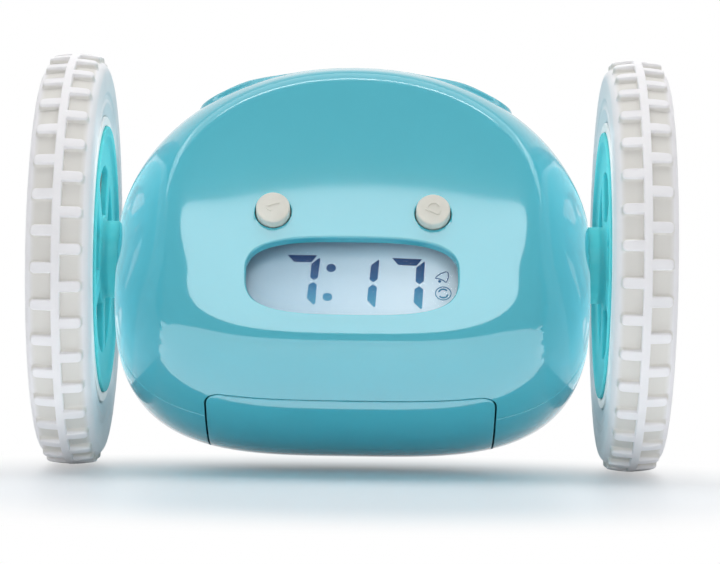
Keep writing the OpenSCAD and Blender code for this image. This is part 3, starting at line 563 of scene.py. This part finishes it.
def doorCutter(name):
    # the opening's outline runs round once per ring, with a rounded edge at the skin
    def ringPoints(height, grow):
        turns = doorTurns(door["gap"] + grow, door["rows"])
        right = [(doorHalf(t, door["gap"] + grow), t) for t in turns]
        across = [k / 12 for k in range(-11, 12)]
        bottom = [(share * right[0][0], turns[0]) for share in across]
        top = [(-share * right[-1][0], turns[-1]) for share in across]
        left = [(-x, t) for x, t in reversed(right)]
        loop = bottom + right + top + left
        return [polar(x, t, skinAt(x, t) + height) for x, t in loop]

    rings = [ringPoints(height, grow) for height, grow in flared(door["edge"], 6)]
    loops = [ring + [ring[0]] for ring in rings]
    return gridPiece(name, len(loops[0]) - 1, len(loops) - 1, lambda column, row: loops[row][column])


eye = {
    "across": 7.1, "spacing": 33.3, "drop": 3.1, "proud": 2.1, "gap": 0.25, "round": 0.45, "edge": 0.22,
    "stem": 2.4, "stemRadius": 1.2, "flange": 0.8, "flangeOut": 1, "behindWall": 0.2,
    "markWidth": 0.42, "markSunk": 0.2, "markProud": 0.26,
}
backButton = {"across": 6, "spacing": 48, "rise": 8, "gap": 0.25}
grille = {"hole": 1.8, "pitch": 4, "rings": 3}


def backCutter(name, x, along, radius, edge):
    # a round cutter straight through the back wall
    count = 32

    def placed(column, row):
        height, grow = edges[row]
        a = 2 * math.pi * (column % count) / count
        px, pz = x + (radius + grow) * math.cos(a), along + (radius + grow) * math.sin(a)
        skin = skinOver(180, px, -pz)
        return (px, skin + height, axleHeight + pz)

    edges = flared(edge, 9)
    return gridPiece(name, count, len(edges) - 1, placed)


def makeFrontShell():
    piece = shellPiece("housingFront", frontLines)
    turn = housing["faceTilt"]
    cutters = [skinCutter("windowCutter", turn, windowOutline, 96, flared(window["round"], 12))]
    for side in (-1, 1):
        hole = roundOutline(side * eye["spacing"] / 2, -eye["drop"], eye["across"] / 2 + eye["gap"])
        cutters.append(skinCutter("eyeCutter", turn, hole, 64, flared(eye["edge"], 9)))
    slot = pillOutline(snooze["length"] + 2 * snooze["gap"], snooze["width"] + 2 * snooze["gap"])
    cutters.append(skinCutter("snoozeCutter", snooze["turn"], slot, snooze["points"],
                              flared(snooze["round"], 9)))
    cutters.append(doorCutter("doorCutterFront"))
    cutAway(piece, *cutters)
    return finished(piece, "clock_body", "aqua_shell", finishes["aquaShell"], "front_shell")


screw = {"turn": -144, "x": 36.05, "along": 24, "radius": 2.5, "tube": 3.7, "floor": 6}


def screwTube(x, along):
    # the well of a case screw, from its floor out to the skin
    count = 32

    def placed(column, row):
        a = 2 * math.pi * (column % count) / count
        inner = row in (0, 1, 4)
        radius = screw["radius"] if inner else screw["tube"]
        px, pa = x + radius * math.cos(a), along + radius * math.sin(a)
        top = skinOver(screw["turn"], px, pa) - (0.3 if inner else 1)
        return over(screw["turn"], px, pa, top if row in (1, 2) else screw["floor"])

    return gridPiece("screwTube", count, 4, placed)


def makeRearShell():
    piece = shellPiece("housingRear", rearLines)
    cutters = [doorCutter("doorCutterRear")]
    tubes = []
    for x in (-screw["x"], screw["x"]):
        for along in (-screw["along"], screw["along"]):
            hole = roundOutline(x, along, screw["radius"])
            cutters.append(skinCutter("screwCutter", screw["turn"], hole, 32, flared(0.25, 6)))
            tubes.append(screwTube(x, along))
    for side in (-1, 1):
        cutters.append(backCutter("settingCutter", side * backButton["spacing"] / 2, backButton["rise"],
                                  backButton["across"] / 2 + backButton["gap"], 0.25))
    for ring in range(grille["rings"]):
        for k in range(max(1, 6 * ring)):
            a = math.radians(60 / max(1, ring) * k)
            cutters.append(backCutter("grilleCutter", ring * grille["pitch"] * math.cos(a),
                                      backButton["rise"] + ring * grille["pitch"] * math.sin(a),
                                      grille["hole"] / 2, 0.2))
    cutAway(piece, *cutters)
    joined(piece, *tubes)
    return finished(piece, "clock_body", "aqua_shell", finishes["aquaShell"], "rear_shell")


def makeDoor():
    turns = doorTurns(0, door["rows"])
    columns = door["columns"]

    def placed(column, row):
        x = (2 * column / columns - 1) * doorHalf(turns[row], 0)
        return polar(x, turns[row], skinAt(x, turns[row]))

    piece = gridPiece("batteryDoor", columns, len(turns) - 1, placed, wrap=False, caps=False)
    withModifier(piece, "SOLIDIFY", thickness=housing["wall"] * mm, offset=-1)
    half, deep = door["notch"] / 2, door["notchDepth"]
    wide = half + door["notchFlare"]
    outline = softened([(-wide, -3, 0), (wide, -3, 0), (wide, -0.3, 0.3), (half, deep, 0.8),
                        (-half, deep, 0.8), (-wide, -0.3, 0.3)])
    cutAway(piece, platePiece("notchCutter", outline, -door["rear"], 30, 50))
    bevelled(piece, door["round"], 3, 60)
    return finished(piece, "door", "aqua_shell", finishes["aquaShell"], "battery_door")


def snoozeProud(x):
    # the bar lies almost level with the brow in the middle and stands proud towards its ends
    least = snooze["leastProud"]
    rise = smoothStep((abs(x) - snooze["levelHalf"]) / snooze["riseLength"])
    return snooze["proud"] * (least + (1 - least) * rise)


def makeSnoozeBar():
    # rings out over the top, then down the sides, which lean in to catch the same light as the face
    outline = pillOutline(snooze["length"], snooze["width"])
    turn, count = snooze["turn"], snooze["points"]
    topRings = (0.02, 0.3, 0.5, 0.65, 0.78, 0.84)
    edgeRings = [(0.95, 0.02), (0.8, 0.05), (0.66, 0.14), (0.54, 0.3), (0.36, 0.65), (0.16, 1),
                 (0.04, 1.12)]
    last = len(topRings) + len(edgeRings) + 1

    def placed(column, row):
        share = (column % count) / count
        k = row - len(topRings)
        if k < 0:
            x, along = outline(share, 0)
            x, along = x * topRings[row], along * topRings[row]
            crown = 1 - snooze["crown"] * topRings[row] ** 3
            return over(turn, x, along, skinOver(turn, x, along) + snoozeProud(x) * crown)
        if k < len(edgeRings):
            inset, drop = edgeRings[k]
            x, along = outline(share, -inset)
            return over(turn, x, along, skinOver(turn, x, along) + snoozeProud(x) * (snooze["edge"] - drop))
        x, along = outline(share, 0)
        if row == last:
            x, along = x * topRings[0], along * topRings[0]
        return over(turn, x, along, skinOver(turn, x, along) - snooze["depth"])

    piece = gridPiece("snoozeBar", count, last, placed)
    return finished(piece, "snooze", "aqua_shell", finishes["aquaShell"], "snooze_bar")


makeFrontShell()
makeRearShell()
makeDoor()
makeSnoozeBar()
print("housing made")

wheel = {
    "out": 66.675, "width": 13, "ridge": 1.8, "ridgeRadius": 44.45,
    "lugs": 36, "lugWidth": 2.3, "lugLength": 4.4, "lugHeight": 1.3, "lugStart": 0.3, "lugCorner": 0.9,
    "tread": 43.15, "crown": 22, "shoulder": 2.6, "rim": 31, "hub": 28.8, "neck": 8.3,
    "neckStart": 48.9, "bore": 2, "plate": 1.4, "plateDepth": 1.5, "flange": 13.2, "outerFlange": 10.4,
    "spokes": 5, "spokeWidth": 4.4, "openingIn": 9.6, "openingOut": 20.2, "openingRound": 1.1,
    "turn": {"left": 3, "right": 6}, "spokeTurn": {"left": -10, "right": -4},
}
wheel["in"] = wheel["out"] - wheel["width"]
wheel["mid"] = wheel["out"] - wheel["width"] / 2
wheel["hubIn"] = wheel["in"] - 1
wheel["lip"] = wheel["in"] - 0.35
wheel["hubBack"] = wheel["hubIn"] + wheel["plateDepth"] + wheel["plate"]
wheel["face"] = wheel["out"] - 1.6
wheel["dish"] = wheel["face"] - wheel["plateDepth"]


def crownAt(u):
    # radius of the slightly domed tread at distance u from its middle
    return wheel["tread"] - wheel["crown"] + math.sqrt(wheel["crown"] ** 2 - u * u)


def treadAt(u):
    # the same with the shoulder rounded off
    half, drop = wheel["width"] / 2, wheel["shoulder"]
    if abs(u) <= half - drop:
        return crownAt(u)
    share = min(1, (abs(u) - half + drop) / drop)
    return crownAt(half - drop) - drop * (1 - math.sqrt(1 - share * share))


def tyreProfile():
    half, drop, ridge = wheel["width"] / 2, wheel["shoulder"], wheel["ridge"] / 2
    top = wheel["ridgeRadius"]
    right = [(top, ridge, 0.3), (crownAt(ridge), ridge + 0.05, 0.25)]
    right += [(crownAt(u), u, 0) for u in (1.8, 2.6, 3.3)]
    bend = [half - drop + drop * math.sin(math.radians(a)) for a in range(0, 91, 10)]
    right += [(treadAt(u), u, 0) for u in bend]
    right += [(36.2, half, 0.3), (35.6, half - 0.25, 0.2), (34.6, half - 0.25, 0.2), (34, half, 0.4),
              (wheel["rim"] + 0.2, half - 0.5, 0.4), (wheel["rim"], half - 1.4, 0)]
    left = [(r, -u, rounding) for r, u, rounding in reversed(right)]
    return softened(right + left, 3)


def lugPiece():
    # one lug over the tread, standing out along +Z, with its long way along +X from the ridge
    start, end, half = wheel["lugStart"], wheel["ridge"] / 2 + wheel["lugLength"], wheel["lugWidth"] / 2
    corner, between, treadEnd = wheel["lugCorner"], 2.4, 6.2
    rings = [(-1.5, 0.25), (0.02, 0.25), (0.14, 0.08), (0.4, 0), (1.02, -0.04), (1.2, -0.12), (1.3, -0.32)]

    def outline(grow):
        h, e = half + grow, end + grow
        bend = [(e - corner + corner * math.sin(a), h - corner + corner * math.cos(a))
                for a in map(math.radians, (0, 25, 50, 75, 90))]
        return ([(start, -h), (between, -h)] + [(x, -y) for x, y in bend]
                + bend[::-1] + [(between, h), (start, h)])

    def placed(column, row):
        height, grow = rings[row]
        loop = outline(grow)
        u, w = loop[column % len(loop)]
        return (u, w, treadAt(min(u, treadEnd)) + height * wheel["lugHeight"] / 1.3)

    return gridPiece("lug", len(outline(0)), len(rings) - 1, placed)


def makeTyre(side, sign):
    tyre = spunPiece(side + "Tyre", [(r, sign * (wheel["mid"] + u)) for r, u in tyreProfile()], 144)
    pattern = lugPiece()
    lugs = []
    for k in range(wheel["lugs"]):
        for outward in (-1, 1):
            turn = wheel["turn"][side] + (k + (0.5 if outward > 0 else 0)) * 360 / wheel["lugs"]
            lug = pattern.copy()
            lug.data = pattern.data.copy()
            bpy.context.scene.collection.objects.link(lug)
            flip = Matrix.Diagonal((sign * outward, 1, 1, 1))
            raised = Matrix.Translation(Vector((sign * wheel["mid"], 0, axleHeight)) * mm)
            lug.data.transform(raised @ Matrix.Rotation(math.radians(90 - turn), 4, "X") @ flip)
            lugs.append(lug)
    bpy.data.objects.remove(pattern)
    joined(tyre, *lugs)
    inEditMode(tyre, facesOut)
    return finished(tyre, side + "_wheel", "white_tyre", finishes["whiteTyre"], side + "_tyre", smooth=40)


def openingCutters(side, sign, inner, outer, start, depth, edge):
    # the openings between the spokes, cut inwards from start with a rounded edge there
    cutters = []
    count, steps = wheel["spokes"], 8
    lead = 1 if depth > 0 else -1
    rings = [(lead * -2, edge * 1.3), (lead * -0.12 * edge, edge * 1.3)]
    rings += [(lead * (edge - edge * math.sin(math.radians(a))), edge - edge * math.cos(math.radians(a)))
              for a in (75, 60, 40, 20, 0)] + [(depth, 0)]
    for k in range(count):
        loops = []
        for height, grow in rings:
            first = wheel["spokeTurn"][side] + 360 / count * k
            points = []
            for radius, way in ((inner - grow, 1), (outer + grow, -1)):
                gap = math.degrees(math.asin((wheel["spokeWidth"] / 2 - grow) / radius))
                turns = [first + gap + (360 / count - 2 * gap) * j / steps for j in range(steps + 1)][::way]
                points += [(radius * math.cos(math.radians(t)), radius * math.sin(math.radians(t)),
                            wheel["openingRound"] if j in (0, steps) else 0) for j, t in enumerate(turns)]
            loop = [(sign * (start + height), y, axleHeight + z) for y, z in softened(points)]
            loops.append(loop + [loop[0]])
        cutters.append(gridPiece("openingCutter", len(loops[0]) - 1, len(loops) - 1,
                                 lambda column, row: loops[row][column]))
    return cutters


def wheelPiece(side, sign, name, points, steps=144):
    return spunPiece(side + name, [(r, sign * x) for r, x in softened(points)], steps)


def makeHub(side, sign):
    bore, neck, hub, back, plate = (wheel[key] for key in ("bore", "neck", "hub", "hubBack", "plate"))
    start, lip, wide = wheel["neckStart"], wheel["lip"], wheel["flange"]
    floor, flange = wheel["hubIn"] + wheel["plateDepth"], back + 0.8
    piece = wheelPiece(side, sign, "Hub", [
        (bore, start, 0.2), (neck - 0.9, start, 0.2), (neck, start + 0.7, 0.3), (neck, floor, 0.9),
        (hub - 3.2, floor, 0.9), (hub - 1.9, lip + 0.05, 0.3), (hub, lip, 0.4), (hub, back, 0.1),
        (neck, back, 0.2), (neck, flange, 0.2), (wide, flange, 0.3), (wide, flange + plate, 0.3),
        (bore, flange + plate, 0.1),
    ])
    cutAway(piece, *openingCutters(side, sign, wheel["openingIn"], wheel["openingOut"], floor, 1.75, 0.3))
    return finished(piece, side + "_wheel", "aqua_hub", finishes["aquaHub"], side + "_hub_plate")


def makeOuterPlate(side, sign):
    bore, hub, flange, dish, face = (wheel[key] for key in ("bore", "hub", "outerFlange", "dish", "face"))
    dishIn, faceIn = dish - wheel["plate"], face - wheel["plate"]
    piece = wheelPiece(side, sign, "OuterPlate", [
        (bore, dish - 2.6, 0.2), (flange, dish - 2.6, 0.3), (flange, dishIn, 0.2),
        (hub - 3.2, dishIn, 0.3), (hub - 1.8, faceIn, 0.2), (hub, faceIn, 0.1), (hub, face, 0.5),
        (hub - 1.6, face, 0.45), (hub - 3, dish, 0.6), (bore, dish, 0.1),
    ])
    cutters = openingCutters(side, sign, flange + 2, wheel["openingOut"] + 2, dish, -2, 0.35)
    cutAway(piece, *cutters)
    return finished(piece, side + "_wheel", "aqua_hub", finishes["aquaHub"], side + "_outer_plate")


def makeAxleCap(side, sign):
    dish, radius, middle = wheel["dish"], 7, 0.05
    piece = wheelPiece(side, sign, "AxleCap", [
        (middle, dish, 0), (radius, dish, 0.1), (radius, dish + 0.6, 0.4), (5.9, dish + 1.15, 0.5),
        (3, dish + 1.32, 0), (middle, dish + 1.4, 0),
    ], 72)
    return finished(piece, side + "_wheel", "cream_button", finishes["creamButton"], side + "_axle_cap")


def makeRim(side, sign):
    # a ring under the tyre, with a thin web inwards between the hub plate and the outer plate
    half, fit = wheel["width"] / 2 - 0.2, 0.02
    ringIn, ringOut = wheel["mid"] - half, wheel["mid"] + half
    webIn, webOut = wheel["hubBack"] + fit, wheel["face"] - wheel["plate"] - fit
    inner, outer, web = wheel["hub"] + 0.1, wheel["rim"] - 0.1, wheel["hub"] - 1.6
    piece = wheelPiece(side, sign, "Rim", [
        (inner, ringIn, 0.3), (outer, ringIn, 0.3), (outer, ringOut, 0.3), (inner, ringOut, 0.3),
        (inner, webOut, 0), (web, webOut, 0.3), (web, webIn, 0.3), (inner, webIn, 0),
    ])
    return finished(piece, side + "_wheel", "white_rim", finishes["whiteRim"], side + "_rim")


eyeMarks = {  # a pair of clock hands, and a small bell
    "left": [[(-1.3, 0.1), (-0.9, 0.35), (0, 0.7), (1.3, 1.05)],
             [(-1.3, 0.1), (-1, -0.5), (-0.3, -0.85)]],
    "right": [arc((0.1, 0.15), 1.35, 10, 150, 8) + [(-1.5, 0.05)],
              [(-1.6, 0.1), (-0.9, -0.3), (0.1, -0.75), (1.1, -1.3)],
              [(1.42, 0.4), (1.35, -0.5), (1.1, -1.3)]],
}


def makeEye(side, sign):
    # a stem and a flange behind the wall, and the button out to its slightly domed top
    radius, stem, top, middle = eye["across"] / 2, eye["stemRadius"], eye["proud"], 0.05
    foot = -housing["wall"] - eye["behindWall"]
    back, wide = foot - eye["flange"], radius + eye["flangeOut"]
    points = [
        (middle, back - eye["stem"], 0), (stem, back - eye["stem"], 0.2), (stem, back, 0),
        (wide, back, 0.2), (wide, foot, 0.2), (radius, foot, 0.1), (radius, top - 0.05, eye["round"]),
        (radius - 1.4, top, 0.3), (middle, top + 0.06, 0),
    ]
    turn, face = housing["faceTilt"], housing["face"]
    x0, along0 = sign * eye["spacing"] / 2, -eye["drop"]
    piece = roundPiece(side + "Eye", softened(points, 5)[1:],
                       lambda x, along, height: over(turn, x0 + x, along + along0, face + height), 64)
    marks = []
    for path in eyeMarks[side]:
        moved = [(x0 + x, along0 + along) for x, along in path]
        marks.append(bandPiece("mark", moved, eye["markWidth"], turn,
                               face + top - eye["markSunk"], face + top + eye["markProud"]))
    joined(piece, *marks)
    return finished(piece, side + "_eye", "cream_button", finishes["creamButton"], side + "_eye_button")


for side, sign in (("left", -1), ("right", 1)):
    makeTyre(side, sign)
    makeHub(side, sign)
    makeRim(side, sign)
    makeOuterPlate(side, sign)
    makeAxleCap(side, sign)
    makeEye(side, sign)
print("wheels and eyes made")

display = {
    "turn": 28, "low": 23.47, "high": 23.54,
    "panel": 1.95, "panelHalf": 23.1, "panelTop": -5.6, "panelFoot": -27.6, "panelCorner": 0.6,
    "dots": [(-4.4, -13.6), (-5.04, -20.37)], "dotSize": (1, 0.93),
    "ring": (18.96, -19.2), "ringSize": (1.62, 1.5), "bow": 0.98, "thin": 0.2, "thick": 0.34,
    "clapper": (18.2, -16.4), "clapperSize": (0.32, 0.3),
}
bellLine = [(17.3, -15.7), (17.7, -15.15), (18.4, -14.6), (19.6, -14.1), (19.95, -14.4), (20, -15.4),
            (19.7, -16.5), (19.4, -16.6)]
bellFoot = [(17.3, -15.7), (18.2, -15.85), (19, -16.2), (19.4, -16.6)]
digitPlates = [
    [(-13.5, -10.7), (-7.4, -10.7), (-8.5, -12.3), (-12.1, -12.3)],
    [(-6.9, -11.3), (-6.7, -11.6), (-7.1, -15.8), (-7.9, -16.5), (-8.7, -15.8), (-8.5, -12.7)],
    [(-8, -17), (-7.3, -17.6), (-7.5, -21.8), (-7.9, -22.2), (-9.3, -20.7), (-9, -17.6)],
    [(5.5, -11.5), (5.6, -11.8), (5.3, -16.1), (4.4, -16.8), (3.6, -16.1), (3.9, -12.9)],
    [(4.4, -17.3), (5.2, -18), (4.9, -22.4), (4.6, -22.6), (3.2, -21), (3.4, -18.1)],
    [(8.3, -11.1), (14.5, -11.3), (13.4, -12.8), (9.6, -12.7)],
    [(15, -11.8), (15.1, -12.2), (14.9, -16.4), (14, -17.1), (13.2, -16.5), (13.3, -13.3)],
    [(13.9, -17.6), (14.8, -18.3), (14.6, -22.7), (14.3, -22.9), (12.8, -21.3), (13, -18.3)],
]


def ovalAt(centre, size, step):
    turns = [math.radians(a) for a in range(0, 360, step)]
    return [(centre[0] + size[0] * math.cos(a), centre[1] + size[1] * math.sin(a)) for a in turns]


def makeDisplay():
    turn, low, high = display["turn"], display["low"], display["high"]
    flat = (turn, low, high)
    plates = [platePiece("digitPlate", outline, *flat) for outline in digitPlates]
    plates += [platePiece("colonDot", ovalAt(at, display["dotSize"], 15), *flat) for at in display["dots"]]
    ring = ovalAt(display["ring"], display["ringSize"], 12)
    lines = [bandPiece("ringMark", ring, display["thin"], *flat, closed=True)]
    lines += [bandPiece("turnMark", arc(display["ring"], display["bow"], start, start + 125, 10),
                        display["thick"], *flat) for start in (40, 220)]
    lines.append(bandPiece("bellMark", bellLine, display["thin"], *flat))
    lines.append(bandPiece("bellFoot", bellFoot, display["thin"], *flat))
    lines.append(platePiece("bellClapper", ovalAt(display["clapper"], display["clapperSize"], 30), *flat))
    for name, group in (("displayDigits", plates), ("displayIcons", lines)):
        piece = joined(*group)
        piece.name = piece.data.name = name
        finished(piece, "clock_body", "dark_plastic", finishes["displayInk"])
    half, corner = display["panelHalf"], display["panelCorner"]
    foot, top = display["panelFoot"], display["panelTop"]
    edges = [(-half, foot, corner), (half, foot, corner), (half, top, corner), (-half, top, corner)]
    panel = platePiece("displayPanel", softened(edges), turn, low - display["panel"], low - 0.02)
    bevelled(panel, 0.1, 2)
    return finished(panel, "clock_body", "crystal_panel", finishes["crystalPanel"], "display_panel")


makeDisplay()
print("display made")

speaker = {"turn": 169, "front": 37.1, "radius": 14, "magnet": 8.4, "depth": 4.6, "rimDepth": 1.3}


def makeSpeaker():
    # basket, rolled surround, cone and dust cap, tilted so that the rim stays under the curved back
    front, radius, magnet, middle = speaker["front"], speaker["radius"], speaker["magnet"], 0.05
    back, under, sunk = front - speaker["depth"], front - speaker["rimDepth"], front - 0.45
    points = [(middle, back, 0), (magnet, back, 0.4), (magnet, back + 2.6, 0.2),
              (radius - 1.6, under, 0.3), (radius, under, 0.2), (radius, front, 0.3),
              (radius - 1.1, front, 0.2), (radius - 1.3, sunk, 0.1)]
    points += [(r, h, 0) for r, h in arc((radius - 2.2, sunk), 0.9, 0, 180, 8)]
    points += [(4.4, front - 1.9, 0.2), (3.8, front - 1.5, 0.3), (2, front - 1.05, 0),
               (middle, front - 0.9, 0)]
    piece = roundPiece("speakerCone", softened(points),
                       lambda x, along, height: over(speaker["turn"], x, along, height), 96)
    return finished(piece, "clock_body", "speaker_body", finishes["darkPlastic"], "speaker")


makeSpeaker()
print("speaker made")

slotFinish = {
    "aqua_shell": "aquaShell", "aqua_hub": "aquaHub", "aqua_inner": "innerPlastic",
    "cream_button": "creamButton", "white_tyre": "whiteTyre", "white_rim": "whiteRim",
    "dark_plastic": "darkPlastic", "board_laminate": "boardLaminate", "speaker_body": "darkPlastic",
    "screw_steel": "screwSteel", "cell_jacket": "cellJacket", "motor_can": "motorCan",
    "gear_nylon": "gearNylon", "frame_plastic": "framePlastic", "clear_lens": "clearLens",
    "crystal_panel": "crystalPanel",
}
for name, node in nodes.items():
    slotName = node.material_slots[0].material.name.split(".")[0] if node.material_slots else ""
    if slotName in slotFinish:
        for holder in node.material_slots:
            holder.material = finishes[slotFinish[slotName]]
    else:
        print("left as packed:", name, slotName)

view = {
    "distance": 670, "azimuth": 0.6, "elevation": 0.5, "roll": 0.78,
    "picture": (720, 564), "focal": 3089, "axleAt": (353.7, 262.4),  # in pixels of the picture
}


def makeCamera():
    turn, lift = math.radians(view["azimuth"]), math.radians(view["elevation"])
    back = Vector((math.sin(turn) * math.cos(lift), -math.cos(turn) * math.cos(lift), math.sin(lift)))
    camera = bpy.data.objects.new("camera", bpy.data.cameras.new("camera"))
    bpy.context.scene.collection.objects.link(camera)
    level = back.to_track_quat("Z", "Y").to_matrix().to_4x4()
    tilt = Matrix.Rotation(math.radians(view["roll"]), 4, "Z")
    place = Matrix.Translation((back * view["distance"] + Vector((0, 0, axleHeight))) * mm)
    camera.matrix_world = place @ level @ tilt
    width, height = view["picture"]
    camera.data.lens = camera.data.sensor_width * view["focal"] / width
    camera.data.shift_x = (width / 2 - view["axleAt"][0]) / width
    camera.data.shift_y = -(height / 2 - view["axleAt"][1]) / width
    camera.data.clip_start, camera.data.clip_end = 0.01, 50
    bpy.context.scene.camera = camera


lamps = {
    "aim": (0, 0, 0.05), "gapAlong": -0.004, "gapHeight": 0.0445, "gapSize": (0.052, 0.056),
    "skyLight": 0.34, "skySeen": 1,
}


def makeLamp(name, at, aim, size, power, inGloss=True):
    data = bpy.data.lights.new(name, "AREA")
    data.shape, data.size, data.size_y, data.energy = "RECTANGLE", size[0], size[1], power
    lamp = bpy.data.objects.new(name, data)
    bpy.context.scene.collection.objects.link(lamp)
    lamp.location = at
    lamp.rotation_euler = (Vector(aim) - Vector(at)).to_track_quat("-Z", "Y").to_euler()
    lamp.visible_camera = False
    lamp.visible_glossy = inGloss
    return lamp


def seenOnly(tree):
    # 1 for what the camera, a gloss or a clear piece looks at, 0 for light on its way to a surface
    path = addNode(tree, "ShaderNodeLightPath")
    value = path.outputs["Is Camera Ray"]
    for name in ("Is Glossy Ray", "Is Transmission Ray"):
        highest = addNode(tree, "ShaderNodeMath", operation="MAXIMUM")
        tree.links.new(value, highest.inputs[0])
        tree.links.new(path.outputs[name], highest.inputs[1])
        value = highest.outputs[0]
    return value


paper = {
    "size": 12, "colour": (0.77, 0.79, 0.82, 1), "roughness": 0.4, "specular": 0.3,
    "middle": (0, 0.055, 0), "squeeze": (0.8, 1, 1), "fadeStart": 0.04, "fadeEnd": 0.1,
}


def makeFloor():
    bpy.ops.mesh.primitive_grid_add(x_subdivisions=8, y_subdivisions=8, size=paper["size"])
    floor = bpy.context.object
    floor.name = "floor"
    material, tree, shader = newMaterial("floorPaper")
    shader.inputs["Base Color"].default_value = paper["colour"]
    shader.inputs["Roughness"].default_value = paper["roughness"]
    shader.inputs["Specular IOR Level"].default_value = paper["specular"]
    # the paper goes over into the white background away from the clock
    distance = distanceOn(tree, paper["middle"], paper["squeeze"])
    fade = rangeOn(tree, distance, paper["fadeStart"], paper["fadeEnd"], interpolation_type="SMOOTHSTEP")
    share = addNode(tree, "ShaderNodeMath", operation="MULTIPLY")
    tree.links.new(fade, share.inputs[0])
    tree.links.new(seenOnly(tree), share.inputs[1])
    white = addNode(tree, "ShaderNodeEmission", Color=(1, 1, 1, 1), Strength=1)
    mixed = addNode(tree, "ShaderNodeMixShader")
    tree.links.new(share.outputs[0], mixed.inputs["Fac"])
    tree.links.new(shader.outputs["BSDF"], mixed.inputs[1])
    tree.links.new(white.outputs["Emission"], mixed.inputs[2])
    tree.links.new(mixed.outputs["Shader"], tree.nodes["Material Output"].inputs["Surface"])
    floor.data.materials.append(material)


def makeWorld():
    # white where it is seen, dimmer as a light on the clock
    world = bpy.data.worlds.new("studio")
    bpy.context.scene.world = world
    world.use_nodes = True
    tree = world.node_tree
    background = tree.nodes["Background"]
    strength = spreadOn(tree, seenOnly(tree), lamps["skyLight"], lamps["skySeen"])
    tree.links.new(strength, background.inputs["Strength"])
    background.inputs["Color"].default_value = (1, 1, 1, 1)


def makeCard(name, at, aim, size, brightness, shape="RECTANGLE"):
    # a card that only shows in the gloss, brightness 1 being white
    lamp = makeLamp(name, at, aim, size, brightness * math.pi * size[0] * size[1])
    lamp.data.shape = shape
    lamp.visible_diffuse = False
    return lamp


makeCamera()
makeFloor()
makeWorld()
aim, gapAlong, gapHeight = lamps["aim"], lamps["gapAlong"], lamps["gapHeight"]
makeLamp("topBox", (0, 0.1, 1.3), aim, (1.8, 1), 13.5)
makeLamp("backBox", (0, 1.5, 0.8), aim, (2.4, 0.9), 9, inGloss=False)
for way in (-1, 1):
    makeLamp("sideBox", (way * 0.8, -1.1, 0.4), aim, (0.5, 0.7), 2.1, inGloss=False)
    for name, x, aimX, power in (("hubFill", 0.0507, way, 0.003), ("cheekFill", 0.0528, 0, 0.004)):
        makeLamp(name, (way * x, gapAlong, gapHeight), (aimX, gapAlong, gapHeight), lamps["gapSize"], power,
                 inGloss=False)
    makeCard("cheekCard", (way * 0.0531, -0.012, gapHeight), (0, -0.012, gapHeight), (0.05, 0.06), 0.7)
    makeCard("shoulderCard", (way * 0.64, -0.06, 0.66), (0, 0, 0.06), (0.5, 0.5), 3.6)
makeCard("faceCard", (0, -0.339, 0.248), (0, -0.02, 0.055), (0.37, 0.36), 7.6, "ELLIPSE")
makeCard("floorCard", (0, -0.178, 0.0015), (0, -0.178, 1), (0.36, 0.3), 4.6)
makeCard("browStrip", (0, -0.2, 0.9), aim, (0.5, 0.04), 16)
bpy.context.scene.view_settings.view_transform = "Standard"
print("stage set")
